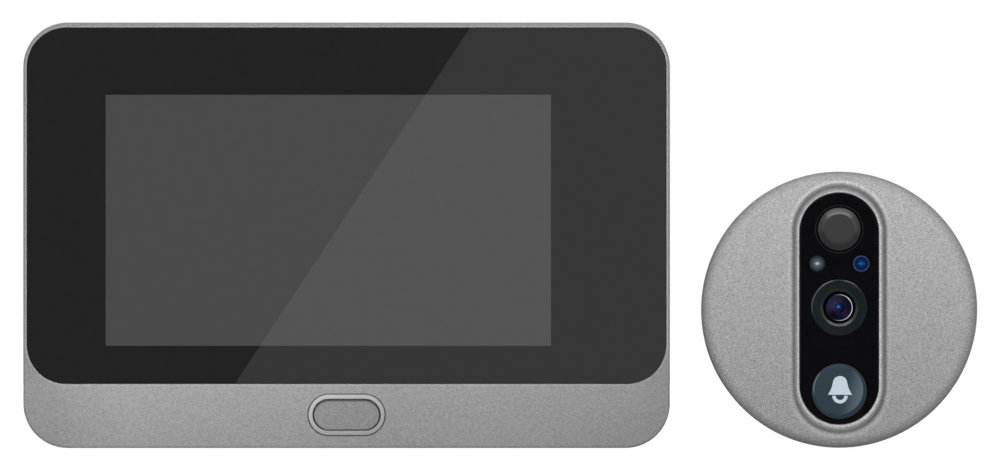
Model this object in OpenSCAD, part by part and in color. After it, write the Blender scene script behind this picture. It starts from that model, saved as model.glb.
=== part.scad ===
// Peephole door camera: an indoor monitor and a round outdoor camera unit, side by side.
// Fronts face -Y, +Z is up, and the door's face is the plane Y = 0.
// The origin is on the peephole's axis, where it meets the door behind the monitor.

/* [Monitor case] */
// Width of the monitor
monitor_w = 138; // [130:0.5:150]
// Height of the monitor
monitor_h = 90.8; // [88:0.2:100]
// Depth of the monitor's case
monitor_d = 17; // [16.5:0.1:20]
// Corner radius of the case, seen from the front
monitor_corner_r = 9.5; // [9:0.1:11]
// Rounding of the front housing's outer edge
front_edge_r = 0.6; // [0.3:0.1:0.7]
// Rounding of the rear cover's back edge
rear_edge_r = 2; // [1:0.1:2.4]
// Wall of both case halves
case_wall = 2; // [1.6:0.1:2.2]
// Depth of the rear cover, from its back to the parting line
rear_cover_d = 8; // [7.5:0.1:8.5]
// Step from the front housing's outline in to the rear cover's
rear_step = 0.4; // [0.2:0.1:0.6]
// Thickness of the locating lip inside the parting line
lip_t = 1; // [0.8:0.1:1.2]
// Height of the locating lip above the parting line
lip_h = 1.5; // [1:0.1:2]
// Height of the peephole's axis above the monitor's lower edge
peephole_y = 46; // [45:0.5:48]
// Thickness of the rubber pads on the back
pad_t = 1; // [0.9:0.1:1.3]
// Diameter of the rubber pads
pad_dia = 8; // [6:0.5:9]

/* [Glass and screen] */
// Rim left beside the cover glass
glass_side = 0.82; // [0.75:0.01:1.4]
// Rim left above the cover glass
glass_top = 1.1; // [0.8:0.05:1.6]
// Height of the chin below the cover glass
chin_h = 13.7; // [13:0.1:16]
// Corner radius of the cover glass
glass_corner_r = 8.4; // [7:0.1:9]
// Thickness of the cover glass
glass_t = 1.1; // [0.7:0.1:1.5]
// How far the glass lies below the rim
glass_drop = 0.1; // [0:0.05:0.3]
// Clearance round the glass
glass_gap = 0.1; // [0.05:0.01:0.2]
// Thickness of the black print behind the glass
mask_t = 0.1; // [0.05:0.01:0.2]
// Thickness of the glass tape
tape_t = 0.2; // [0.1:0.05:0.4]
// Width of the glass tape
tape_w = 3; // [2:0.1:4]
// Thickness of the ledge that carries the glass
ledge_t = 1.2; // [1:0.1:1.4]
// Width of the screen
screen_w = 95.05; // [90:0.05:97]
// Height of the screen
screen_h = 53.57; // [50:0.01:54]
// Sideways place of the screen's centre
screen_x = -3.9; // [-5:0.1:2]
// Black border of the glass below the screen
screen_low = 8.115; // [7.5:0.005:9]
// Display border at each side of the screen
lcd_side = 5.2; // [4:0.1:6]
// Display border above the screen
lcd_top = 4.1; // [3:0.1:5]
// Display border below the screen, with the driver
lcd_bottom = 8.4; // [6:0.1:8.5]
// Thickness of the display panel
lcd_panel_t = 1.4; // [1.2:0.1:1.6]
// Thickness of the backlight
backlight_t = 1.6; // [1.4:0.1:1.8]
// Sheet thickness of the display tray
tray_t = 0.3; // [0.2:0.05:0.4]
// Thickness of the foam gasket in front of the display
lcd_gasket_t = 0.5; // [0.3:0.1:0.8]
// Margin of the housing's window round the screen
window_margin = 1.2; // [0.8:0.1:2]

/* [View button] */
// Width of the key
key_w = 13.85; // [12:0.05:18]
// Height of the key
key_h = 6.2; // [5.5:0.05:7]
// Height of the key's centre above the monitor's lower edge
key_y = 7.06; // [6.8:0.02:7.4]
// Gap between the key and its ring
key_gap = 0.35; // [0.1:0.05:0.5]
// Width of the bright ring
ring_band = 0.85; // [0.6:0.05:1]
// Gap between the ring and the housing
ring_gap = 0.15; // [0.1:0.05:0.2]
// How far the ring stands proud of the chin
ring_proud = 0.15; // [0.05:0.05:0.3]
// How far the key's face lies below the chin
key_drop = 0.2; // [0:0.05:0.3]
// Width of the holding flanges of the key and the ring
key_flange = 0.7; // [0.5:0.1:0.8]
// Thickness of the ring's flange
ring_flange_t = 0.8; // [0.6:0.1:1]
// Thickness of the key's flange
key_flange_t = 1; // [0.8:0.1:1.2]
// Travel of the view button
key_travel = 0.4; // [0.2:0.05:0.5]

/* [Monitor inside] */
// Gap between the main board and the screw towers at its sides
board_side = 1.9; // [1:0.1:5]
// Height of the main board
board_h = 37.5; // [36:0.5:39]
// Thickness of the main board
board_t = 1.6; // [1.2:0.2:1.6]
// Gap between the case and the board's lower edge
board_gap = 1; // [0.6:0.1:1.4]
// Height of the posts under the board
board_post_h = 3.4; // [3.3:0.1:3.6]
// Space between the board and the battery, for the lead
lead_space = 3.6; // [3:0.1:5]
// Clearance round the battery
battery_gap = 1.9; // [1:0.1:2.4]
// Diameter of the speaker
speaker_dia = 20; // [16:0.5:20]
// Sideways place of the USB socket
usb_x = 32; // [28:0.5:40]
// Sideways place of the power switch
switch_x = -32; // [-40:0.5:-28]
// Travel of the power switch's lever
switch_travel = 2; // [1.5:0.1:2.5]
// Sideways place of the microphone
mic_x = 14; // [11:0.5:18]
// Distance of the case screws from the monitor's outline
screw_inset = 7.5; // [7.2:0.1:8]

/* [Bracket] */
// Width of the bracket's plate
bracket_w = 62; // [56:1:70]
// Height of the bracket's plate
bracket_h = 46; // [44:0.5:48]
// Sheet thickness of the bracket
bracket_t = 1.2; // [1:0.1:1.3]
// Clearance between the bracket and the rear cover
bracket_gap = 0.4; // [0.3:0.1:0.5]
// Thickness of the rear cover where the hooks grip it
hook_wall = 1.8; // [1.5:0.1:2]
// Width of each hook
hook_w = 8; // [6:0.5:9]
// Height of each hook's upright lip
hook_lip = 4; // [3:0.1:4.5]
// Height of the upper hooks above the peephole's axis
hook_up = 12; // [11:0.5:13]
// Depth of the lower hooks below the peephole's axis
hook_down = 14; // [13:0.5:15]
// Lift that takes the monitor off its hooks
lift_travel = 5.5; // [5:0.1:6]
// Spacing of the two fixing screws through the door
fix_spacing = 11; // [10.5:0.5:12]
// Diameter of the bracket's fixing holes
fix_hole_dia = 3.4; // [3:0.1:3.8]

/* [Outdoor unit] */
// Diameter of the outdoor unit
outdoor_dia = 59; // [58:0.5:66]
// Depth from the door to the outdoor unit's face
outdoor_d = 16; // [15.5:0.1:18]
// Gap between the two units as they stand
unit_gap = 6.7; // [2:0.1:20]
// Rounding of the face's rim
rim_r = 2.3; // [1:0.1:2.6]
// How much the face shell narrows towards the door, on its radius
shell_draft = 0.25; // [0:0.05:0.5]
// Wall of the face shell
shell_wall = 2; // [1.6:0.1:2.2]
// Thickness of the face
face_t = 2.2; // [1.8:0.1:2.4]
// Thickness of the door gasket
gasket_t = 1.5; // [1:0.1:2]
// Thickness of the rear plate
rear_plate_t = 2; // [1.8:0.1:2.2]
// Length of the threaded posts behind the door gasket's plane
post_length = 24; // [15:1:40]
// Outside diameter of the threaded posts
post_dia = 4.6; // [4.2:0.1:5]
// Hole in the posts, for the fixing screws' thread
post_hole_dia = 2.5; // [2:0.1:3]

/* [Lens panel] */
// Width of the black panel
panel_w = 16.95; // [16:0.05:18]
// Face left above and below the black panel
panel_rim = 4.7; // [4.5:0.1:6]
// Height of the panel's centre above the disc's centre
panel_y = 0.29; // [0:0.01:0.4]
// Thickness of the panel
panel_t = 1.5; // [1:0.1:1.8]
// How far the panel's front lies below the face
panel_drop = 0.9; // [0.6:0.1:1.2]
// Depth of the hollow round the panel
moat_depth = 1.3; // [0.8:0.1:1.4]
// Width of the hollow round the panel
moat_w = 1.9; // [1.2:0.05:2]
// Flat ledge beside the panel
moat_ledge = 0.25; // [0.2:0.05:0.5]
// How much farther the hollow reaches at the panel's two ends
moat_end = 0.3; // [0:0.05:0.4]
// Clearance round the panel
panel_gap = 0.1; // [0.05:0.01:0.2]
// Thickness of the panel tape
panel_tape_t = 0.2; // [0.1:0.05:0.4]
// Thickness of the shell's seat behind the panel
seat_t = 1.6; // [1.4:0.1:1.8]

/* [Sensors, lens and bell] */
// Depth of the motion sensor below the panel's upper end
pir_down = 7.89; // [7.5:0.01:8.2]
// Diameter of the motion sensor's lens
pir_dia = 9.1; // [8.4:0.1:9.4]
// Diameter of the flat on the motion sensor's lens
pir_flat_dia = 6.6; // [5:0.1:7]
// Rounding between that flat and the sloping side
pir_round = 0.9; // [0.3:0.1:1.2]
// How far the motion sensor's lens stands proud of the panel
pir_proud = 1.2; // [0.6:0.1:2]
// Sideways place of the two small windows
led_x = 4.7; // [4.6:0.05:5]
// Depth of the two small windows below the motion sensor
led_down = 7.35; // [7:0.05:7.6]
// Diameter of the two small windows
led_dia = 3.4; // [3:0.1:3.6]
// Height of the lens above the disc's centre
lens_y = 0.45; // [0:0.05:0.6]
// Diameter of the lens bezel
bezel_dia = 12; // [11:0.1:12.4]
// Hole in the lens bezel
bezel_hole_dia = 6.9; // [6.6:0.1:7.4]
// Chamfer of the bezel's hole
bezel_chamfer = 0.6; // [0.3:0.05:0.8]
// How far the bezel stands proud of the panel
bezel_proud = 0.3; // [0.1:0.05:0.5]
// Diameter of the lens barrel
barrel_dia = 8.2; // [7.6:0.1:8.6]
// Diameter of the front lens
lens_dia = 5.7; // [5:0.1:5.8]
// Height of the bell button above the panel's lower end
bell_up = 7.08; // [7:0.01:7.6]
// Diameter of the bell button
bell_dia = 11.8; // [11:0.1:12.2]
// How far the bell button stands proud of the panel
bell_proud = 0.4; // [0.2:0.05:0.8]
// Bevel on the bell button's edge
bell_bevel = 0.65; // [0.2:0.05:0.7]
// Travel of the bell button
bell_travel = 0.5; // [0.3:0.05:0.6]
// Height of the bell sign's body
sign_h = 4.06; // [3.6:0.02:4.6]
// Width of the bell sign's foot
sign_w = 5.2; // [4.6:0.1:5.6]

/* [Hidden] */
$fn = 64;
eps = 0.01;
past = 1;             // how far a cut runs past a face
fit = 0.15;           // clearance between fixed pieces that slide together
moving_gap = 0.3;     // clearance beside pieces that move
part_gap = 0.1;       // clearance between stacked inner pieces

// Levels of the monitor, measured from the door towards the viewer
back_z = pad_t;
floor_z = back_z + case_wall;
split_z = back_z + rear_cover_d;
front_z = back_z + monitor_d;
recess_z = bracket_t + bracket_gap;
grip_z = recess_z + hook_wall;
hook_gap = 0.3;
hook_z = grip_z + hook_gap;
board_z = floor_z + board_post_h;
board_top_z = board_z + board_t;
glass_z = front_z - glass_drop - glass_t;
mask_z = glass_z - mask_t;
ledge_z = mask_z - tape_t;
front_in_z = ledge_z - ledge_t;
lcd_front_z = front_in_z - lcd_gasket_t;
panel_back_z = lcd_front_z - lcd_panel_t;
lcd_back_z = panel_back_z - backlight_t - tray_t;
battery_air = 0.3;
battery_lift = 1;
battery_z = hook_z + bracket_t + battery_lift;
battery_t = lcd_back_z - battery_air - battery_z;

// Outlines of the monitor
rear_w = monitor_w - 2 * rear_step;
rear_h = monitor_h - 2 * rear_step;
rear_r = monitor_corner_r - rear_step;
inner_r = monitor_corner_r - case_wall;
rear_in = rear_step + case_wall;      // rear cover's inner face, from the monitor's outline
mid_y = monitor_h / 2;
glass_w = monitor_w - 2 * glass_side;
glass_h = monitor_h - glass_top - chin_h;
glass_y = chin_h + glass_h / 2;
screen_y = chin_h + screen_low + screen_h / 2;
lcd_w = screen_w + 2 * lcd_side;
lcd_h = screen_h + lcd_top + lcd_bottom;
lcd_y = screen_y + (lcd_top - lcd_bottom) / 2;
lcd_low = lcd_y - lcd_h / 2;
tray_in = tray_t + part_gap;
window_w = screen_w + 2 * window_margin;
window_h = screen_h + 2 * window_margin;
rib_t = 1;
rib_h = 2.5;
rib_run = 12;

// View button
ring_w = key_w + 2 * (key_gap + ring_band);
ring_h = key_h + 2 * (key_gap + ring_band);
ring_edge_r = 0.1;
ring_flange = ring_gap + key_flange;
ring_back_z = front_in_z - ring_flange_t;
key_front_z = front_z - key_drop;
key_rest = 0.1;
key_flange_z = ring_back_z - key_rest;
key_back_z = key_flange_z - key_flange_t;
tact_w = 6;
tact_stem_r = 1.7;
tact_stem_out = 0.8;
tact_stem_in = 0.3;
tact_cap_t = 0.4;
tact_cap_inset = 0.3;
pusher_r = 2;
key_pusher = 1.1;
tact_stem_z = key_back_z - key_pusher;
tact_top_z = tact_stem_z - tact_stem_out;
tact_h = tact_top_z - board_top_z;

// Main board and what is on it
tower_r = 3.6;
board_w = monitor_w - 2 * (screw_inset + tower_r + board_side);
board_low = rear_in + board_gap;
board_high = board_low + board_h;
board_post_r = 2.6;
board_hole_inset = 5;
board_screw_hole_r = 1.1;
board_fixings = [for (sx = [-1, 1], y = [board_low + board_hole_inset, board_high - board_hole_inset])
    [sx * (board_w / 2 - board_hole_inset), y]];
thread_gap = 0.05;
screw_r = 1;
screw_head_r = 1.9;
screw_head_h = 1.3;
cross_w = 0.6;
cross_l = 2.4;
cross_depth = 0.6;
board_screw_l = 4.2;
flex_w = 12;
flex_t = 0.3;
flex_offset = 26;
flex_x = screen_x - flex_offset;
flex_lift = 0.6;
flex_high_z = panel_back_z + part_gap;
flex_low_z = board_top_z + flex_lift;
flex_bend_y = lcd_low;
flex_bend_r = (flex_high_z - flex_low_z) / 2;
flex_socket_side = 1.5;
flex_socket_w = flex_w + 2 * flex_socket_side;
flex_socket_d = 5;
flex_socket_h = 1.6;
flex_socket_in = 2;
flex_socket_up = 18;
flex_socket_y = board_low + flex_socket_up;
shield_w = 24;
shield_h = 18;
shield_air = 1.3;
shield_d = lcd_back_z - board_top_z - shield_air;
shield_x = 14;
shield_up = 24;
shield_y = board_low + shield_up;
sheet_t = 0.3;
chip_in = 16;
chips = [[-6, 25, 9, 9, 1.1], [38, 22, 7, 9, 1], [chip_in - board_w / 2, 28, 6, 6, 0.9], [44, 10, 5, 6, 0.9],
    [-20, 8, 4, 5, 1]];
cable_socket_w = 12;
cable_socket_d = 5;
cable_socket_h = 2.8;
cable_socket_wall = 0.8;
cable_pins = 6;
pin_w = 0.5;
pin_pitch = 1.5;
cable_window_w = 20;
cable_window_margin = 1.5;
cable_window_top = fix_hole_dia / 2 + cable_window_margin;
cable_window_low = 18;
cable_way_w = 18;
cable_way_top = 6;
relief_side = 5.5;
relief_w = fix_spacing + 2 * relief_side;
relief_reach = 4.8;
relief_depth = 2.2;
relief_wall = 1.2;
relief_z = recess_z + relief_depth;
cable_socket_y = peephole_y - (cable_way_top + cable_window_low) / 2;
usb_w = 8.94;
usb_h = 3.26;
usb_wall = 0.35;
usb_depth = 7;
usb_back = 1;
usb_sink = 0.6;
usb_mouth_y = rear_step + usb_sink;
usb_z = board_z - usb_h / 2;
usb_tongue = [6.7, 4.6, 0.7];
switch_w = 8.6;
switch_d = 4;
switch_h = 3.2;
switch_gap = 0.6;
switch_y = rear_in + switch_gap;
switch_pocket = 1.4;
lever_w = 2;
lever_h = 1.8;
lever_in = 1;
lever_groove_r = 0.25;
lever_sink = 0.3;
lever_tip_y = rear_step + lever_sink;
lever_z = board_z - switch_h / 2;
finger_w = 9;
finger_h = 4;
finger_depth = 0.8;
mic_r = 2;
mic_d = 2.2;
mic_hole_r = 0.6;
mic_port_r = 0.7;
mic_port_d = 0.5;
mic_z = floor_z + mic_r + part_gap;
mic_notch_gap = 0.8;
mic_notch = mic_r + mic_notch_gap;

// Battery, speaker and aerial
speaker_r = speaker_dia / 2;
speaker_margin = 3;
speaker_x = -(monitor_w / 2 - rear_in - speaker_r - speaker_margin);
speaker_wall_t = 1.2;
speaker_h = board_top_z - floor_z;    // basket level with the board, so that the lead lies on both
battery_w = 2 * (-speaker_x - speaker_r - speaker_wall_t - battery_gap);
battery_low = board_high + lead_space;
battery_h = monitor_h - rear_in - battery_gap - battery_low;
battery_r = 2.5;
battery_rib_t = 1.2;
battery_rib_inset = 2;
speaker_y = battery_low + battery_h / 2;
magnet_r = 5.5;
magnet_h = 1.2;
cone_t = 0.4;
cone_roll = 1;
cone_low = 0.4;
cone_high = 1.6;
cone_cap_r = 2;
basket_t = 1;
grille_hole_r = 0.8;
grille_rings = [[0, 1], [3, 6], [6, 12]];
plug_w = 6;
plug_d = 4;
plug_air = 0.7;
plug_h = lcd_back_z - board_top_z - plug_air;
plug_in = 7.5;
plug_x = battery_w / 2 - plug_in;
lead_r = 0.6;
lead_pitch = 2.4;
speaker_lead_pitch = 2;
speaker_lead_on = 1.5;
speaker_lead_in = 2;
aerial_w = 36;
aerial_t = 0.3;
aerial_z = floor_z + part_gap;
aerial_h = split_z - lip_h - part_gap - aerial_z;

// Case screws, pads and bracket
case_fixings = [for (sx = [-1, 1], y = [screw_inset, monitor_h - screw_inset])
    [sx * (monitor_w / 2 - screw_inset), y]];
boss_r = 2.8;
screw_sink = 3.5;
seat_z = back_z + screw_sink;
boss_blind = 1;
tip_gap = 0.8;
case_screw_l = front_in_z - boss_blind - tip_gap - seat_z;
pad_up = 7;
pad_in = 3.5;
pad_places = [for (sx = [-1, 1], y = [screw_inset + pad_up, monitor_h - screw_inset - pad_up])
    [sx * (monitor_w / 2 - screw_inset - pad_in), y]];
bracket_r = 3;
hook_inset = 7;
hook_x = bracket_w / 2 - hook_inset;
hook_rows = [hook_up, -hook_down];
hook_fold = hook_z - bracket_t + hook_lip;
recess_margin = 0.8;
recess_low = peephole_y - bracket_h / 2 - lift_travel - recess_margin;
recess_high = peephole_y + bracket_h / 2 + recess_margin;
rest_gap = 0.05;      // clearance at a stop that a moving piece rests on

// Levels of the outdoor unit, measured from the door towards the viewer
outdoor_r = outdoor_dia / 2;
outdoor_x = monitor_w / 2 + unit_gap + outdoor_r;
face_z = outdoor_d;
face_in_z = face_z - face_t;
shell_d = face_z - gasket_t;
panel_z = face_z - panel_drop;
panel_seat_z = panel_z - panel_t - panel_tape_t;
seat_in_z = panel_seat_z - seat_t;
moat_z = face_z - moat_depth;
panel_h = outdoor_dia - 2 * panel_rim;
pir_y = panel_y + panel_h / 2 - pir_down;
led_y = pir_y - led_down;
bell_drop = panel_h / 2 - panel_y - bell_up;
seat_margin = 2;
shell_in_r = outdoor_r - shell_wall;
plate_z = gasket_t + rear_plate_t;
outdoor_post_h = 2.1;
outdoor_board_t = 1.2;
outdoor_board_z = plate_z + outdoor_post_h;
outdoor_top_z = outdoor_board_z + outdoor_board_t;
outdoor_board_w = 32;
outdoor_board_gap = 3;
outdoor_boss_r = 2.3;
outdoor_boss_gap = 3;
outdoor_boss_x = outdoor_board_w / 2 + outdoor_boss_r + outdoor_boss_gap;
outdoor_boss_y = 9;
outdoor_fixings = [for (sx = [-1, 1], sy = [-1, 1]) [sx * outdoor_boss_x, sy * outdoor_boss_y]];
outdoor_screw_l = 7;
outdoor_blind = 1;
outdoor_sink = 1.3;
outdoor_post_r = 2;
outdoor_post_x = 12.5;
outdoor_post_y = 15.5;
outdoor_posts = [for (sx = [-1, 1], sy = [-1, 1]) [sx * outdoor_post_x, sy * outdoor_post_y]];
flange_t = 0.8;
flange_z = seat_in_z - flange_t;
pir_wall = 0.7;
pir_flange = 1.1;
pir_hole_gap = 0.4;
pir_can_r = 4.1;
pir_can_lip = 0.5;
pir_can_lip_t = 0.6;
pir_eye = [4.1, 3.3, 0.3];
led_flange = 0.55;
led_gap = 0.15;
led_crown = 0.2;
led_chip = [2.4, 2, 1.6];
bezel_gap = 0.15;
bezel_edge = 0.25;
nose_gap = 0.25;
nose_r = bezel_hole_dia / 2 - nose_gap;
nose_drop = 0.5;
nose_z = panel_z - nose_drop;
barrel_drop = 0.2;
barrel_lift = 1.7;
barrel_top_z = panel_seat_z - barrel_drop;
barrel_z = outdoor_top_z + barrel_lift;
barrel_bore_r = 2.4;
lens_edge_t = 0.5;
lens_crown = 0.45;
lens_gap = 0.03;
holder_wall = 1.2;
holder_air = 1.2;
holder_w = barrel_dia + 2 * holder_wall;
holder_h = seat_in_z - outdoor_top_z - holder_air;
sensor_w = 5;
sensor_h = 0.8;
bell_gap = 0.25;
bell_flange = 0.8;
bell_rest = 0.1;
bell_front_z = panel_z + bell_proud;
bell_flange_z = seat_in_z - bell_rest - flange_t;
bell_pusher = 0.8;
bell_stem_z = bell_flange_z - bell_pusher;
bell_tact_z = bell_stem_z - tact_stem_out;
bell_tact_h = bell_tact_z - outdoor_top_z;
seal_r = 0.4;
seal_gap = 0.08;
seal_room = 0.1;
seal_z = (seat_in_z + panel_seat_z) / 2;
sign_depth = 0.3;
sign_top = 3.32;
sign_side = 0.15; // right of the key's middle
sign_shoulder = 0.54;
sign_crown = 0.32;
sign_flare = 2.2;
clapper_r = 1.65;
clapper_t = 0.75;
clapper_gap = 0.21;
outdoor_mic_angle = -55;
outdoor_mic_gap = 0.2;
outdoor_mic_lift = 0.6;
outdoor_mic_z = outdoor_top_z + mic_r + outdoor_mic_lift;
outlet_margin = 0.9;
outlet_w = fix_spacing - post_dia - 2 * outlet_margin;
outlet_h = 9;
post_flange = 0.7;
post_flange_t = 1.2;
post_blind = 20;
post_fit = 0.1;
outdoor_socket_size = [10, 4, 1.6];
outdoor_socket_y = 8;
gasket_inset = 0.7;
gasket_hole_r = 9.5;

silver = [0.62, 0.63, 0.64];
graphite = [0.16, 0.16, 0.17];
black = [0.04, 0.04, 0.05];
board_green = [0.06, 0.3, 0.16];
steel = [0.72, 0.73, 0.75];
brass = [0.8, 0.65, 0.3];
cream = [0.9, 0.88, 0.8];

// Places

// Monitor: x to the right of its middle, y up from its lower edge, z out from the door
module at_monitor() {
    translate([0, 0, -peephole_y]) rotate([90, 0, 0]) children();
}

// Outdoor unit: x and y from the disc's centre, z out from the door
module at_outdoor() {
    translate([outdoor_x, 0, outdoor_r - peephole_y]) rotate([90, 0, 0]) children();
}

// Shared shapes

// A quarter of a disc in the first quadrant
module quarter(r) {
    intersection() {
        circle(r);
        square(r);
    }
}

// A rectangle with round corners, centred
module rounded_rect(w, h, r) {
    square([w - 2 * r, h], center = true);
    square([w, h - 2 * r], center = true);
    for (k = [0:3]) {
        reach = k % 2 == 0 ? [w / 2 - r, h / 2 - r] : [h / 2 - r, w / 2 - r];
        rotate(90 * k) translate(reach) quarter(r);
    }
}

// A bar with half-round ends, centred
module stadium(w, h) {
    if (w > h) {
        rotate(90) stadium(h, w);
    } else {
        square([w, h - w], center = true);
        for (turn = [0, 180]) rotate(turn) translate([0, (h - w) / 2]) {
            quarter(w / 2);
            rotate(90) quarter(w / 2);
        }
    }
}

// A plate of a centred outline, from one level to another
module plate(low, high) {
    translate([0, 0, low]) linear_extrude(high - low) children();
}

// A block centred in x and y, from one level to another
module block(w, h, low, high) {
    translate([-w / 2, -h / 2, low]) cube([w, h, high - low]);
}

// A rod from one level to another
module rod(r, low, high) {
    translate([0, 0, low]) cylinder(r = r, h = high - low);
}

// A profile carried round a rounded rectangle; its x is measured from the corner's centre
module carried_round(w, h, r) {
    for (k = [0:3]) rotate(90 * k) {
        across = k % 2 == 0 ? w : h;
        along = (k % 2 == 0 ? h : w) - 2 * r;
        if (along > eps) translate([across / 2 - r, 0, 0])
            rotate([90, 0, 0]) linear_extrude(along, center = true) children();
        translate([across / 2 - r, along / 2, 0]) rotate_extrude(angle = 90) children();
    }
}

// A profile of the given width and height whose outer upper corner is round
module round_shoulder(w, h, r) {
    square([w, h - r]);
    square([w - r, h]);
    translate([w - r, h - r]) quarter(r);
}

// A rounded slab with a round upper edge
module edged_slab(w, h, r, d, edge) {
    carried_round(w, h, r) round_shoulder(r, d, edge);
    if (w > 2 * r + eps && h > 2 * r + eps) block(w - 2 * r, h - 2 * r, 0, d);
}

// A pan-head screw whose seat is at z = 0 and whose shank points to +z
module pan_screw(length) {
    difference() {
        union() {
            rod(screw_head_r, -screw_head_h, 0);
            rod(screw_r, -eps, length);
        }
        for (turn = [0, 90]) rotate(turn)
            block(cross_w, cross_l, -screw_head_h - eps, cross_depth - screw_head_h);
    }
}

// A square push switch whose foot is at z = 0, with a well for its stem
module tact_body(h, travel) {
    difference() {
        union() {
            block(tact_w, tact_w, 0, h - tact_cap_t);
            block(tact_w - 2 * tact_cap_inset, tact_w - 2 * tact_cap_inset, h - tact_cap_t - eps, h);
        }
        rod(tact_stem_r + fit, h - tact_stem_in - travel, h + eps);
    }
}

// A press-fit capsule microphone lying along +y from y = 0
module capsule() {
    rotate([-90, 0, 0]) difference() {
        rod(mic_r, 0, mic_d);
        rod(mic_port_r, -eps, mic_port_d);
    }
}

// Monitor case

module front_housing() {
    color(silver) at_monitor() difference() {
        union() {
            translate([0, mid_y, 0]) difference() {
                translate([0, 0, split_z])
                    edged_slab(monitor_w, monitor_h, monitor_corner_r, front_z - split_z, front_edge_r);
                plate(split_z - eps, front_in_z)
                    rounded_rect(monitor_w - 2 * case_wall, monitor_h - 2 * case_wall, inner_r);
            }
            for (p = case_fixings) translate(p) rod(boss_r, split_z, front_in_z + eps);
            lcd_ribs();
        }
        translate([0, glass_y, 0]) plate(ledge_z, front_z + past)
            rounded_rect(glass_w + 2 * glass_gap, glass_h + 2 * glass_gap, glass_corner_r + glass_gap);
        translate([screen_x, screen_y, 0]) block(window_w, window_h, front_in_z - past, front_z);
        translate([0, key_y, 0]) {
            plate(front_in_z - past, front_z + past) stadium(ring_w + 2 * ring_gap, ring_h + 2 * ring_gap);
            plate(key_back_z - key_travel - moving_gap, front_in_z)
                stadium(ring_w + 2 * (ring_flange + fit), ring_h + 2 * (ring_flange + fit));
        }
        for (p = case_fixings) translate(p)
            rod(screw_r + thread_gap, split_z - past, front_in_z - boss_blind);
    }
}

// Ribs at the four corners of the display
module lcd_ribs() {
    translate([screen_x, lcd_y, 0]) difference() {
        block(lcd_w + 2 * (fit + rib_t), lcd_h + 2 * (fit + rib_t), front_in_z - rib_h, front_in_z + eps);
        block(lcd_w + 2 * fit, lcd_h + 2 * fit, front_in_z - rib_h - past, front_in_z + past);
        block(lcd_w - 2 * rib_run, 2 * lcd_h, front_in_z - rib_h - past, front_in_z + past);
        block(2 * lcd_w, lcd_h - 2 * rib_run, front_in_z - rib_h - past, front_in_z + past);
    }
}

module rear_cover() {
    color(graphite) at_monitor() difference() {
        union() {
            rear_shell();
            rear_lip();
            translate([0, (recess_low + recess_high) / 2, 0])
                block(bracket_w + 2 * (recess_margin + hook_wall), recess_high - recess_low + 2 * hook_wall,
                    back_z + eps, grip_z);
            translate([0, peephole_y - lift_travel / 2, 0])
                block(relief_w + 2 * relief_wall, lift_travel + 2 * (relief_reach + relief_wall),
                    floor_z - eps, relief_z + relief_wall);
            for (p = case_fixings) translate(p) rod(tower_r, floor_z - eps, split_z);
            for (p = board_fixings) translate(p) rod(board_post_r, floor_z - eps, board_z);
            battery_ribs();
            translate([speaker_x, speaker_y, 0]) difference() {
                rod(speaker_r + fit + speaker_wall_t, floor_z - eps, floor_z + speaker_h / 2);
                rod(speaker_r + fit, floor_z - past, floor_z + speaker_h);
            }
        }
        bracket_recess();
        lower_edge_openings();
        for (p = case_fixings) translate(p) {
            rod(screw_head_r + fit, back_z - past, seat_z);
            rod(screw_r + fit, seat_z - eps, split_z + past);
        }
        for (p = board_fixings) translate(p) rod(screw_r + thread_gap, floor_z, board_z + past);
        translate([speaker_x, speaker_y, 0]) for (ring = grille_rings, k = [1:ring[1]])
            rotate(360 * k / ring[1]) translate([ring[0], 0, 0])
                rod(grille_hole_r, back_z - past, floor_z + past);
    }
}

module rear_shell() {
    translate([0, mid_y, 0]) difference() {
        translate([0, 0, split_z]) mirror([0, 0, 1])
            edged_slab(rear_w, rear_h, rear_r, rear_cover_d, rear_edge_r);
        plate(floor_z, split_z + eps)
            rounded_rect(rear_w - 2 * case_wall, rear_h - 2 * case_wall, rear_r - case_wall);
    }
}

// Lip that keeps the two halves in line
module rear_lip() {
    lip_w = monitor_w - 2 * (case_wall + fit);
    lip_l = monitor_h - 2 * (case_wall + fit);
    lip_r = inner_r - fit;
    translate([0, mid_y, 0]) difference() {
        plate(split_z - lip_h, split_z + lip_h) rounded_rect(lip_w, lip_l, lip_r);
        plate(split_z - lip_h - past, split_z + lip_h + past)
            rounded_rect(lip_w - 2 * lip_t, lip_l - 2 * lip_t, lip_r - lip_t);
    }
}

// Two ribs that the battery lies on
module battery_ribs() {
    for (y = [battery_low + battery_rib_inset, battery_low + battery_h - battery_rib_inset])
        translate([0, y, 0])
            block(battery_w - 2 * battery_rib_inset, battery_rib_t, floor_z - eps, battery_z);
}

// Shallow seat for the bracket, with the hooks' slots, the cable's way in and room for the screws' heads
module bracket_recess() {
    translate([0, (recess_low + recess_high) / 2, 0])
        block(bracket_w + 2 * recess_margin, recess_high - recess_low, back_z - past, recess_z);
    for (sx = [-1, 1], row = hook_rows) {
        slot_low = peephole_y + row - lift_travel - moving_gap;
        slot_high = peephole_y + row + bracket_t + rest_gap;
        translate([sx * hook_x, (slot_low + slot_high) / 2, 0])
            block(hook_w + 2 * moving_gap, slot_high - slot_low, back_z, grip_z + past);
    }
    translate([0, cable_socket_y, 0])
        block(cable_way_w, cable_window_low - cable_way_top, back_z, board_z);
    translate([0, peephole_y - lift_travel / 2, 0])
        block(relief_w, lift_travel + 2 * relief_reach, back_z, relief_z);
}

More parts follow.
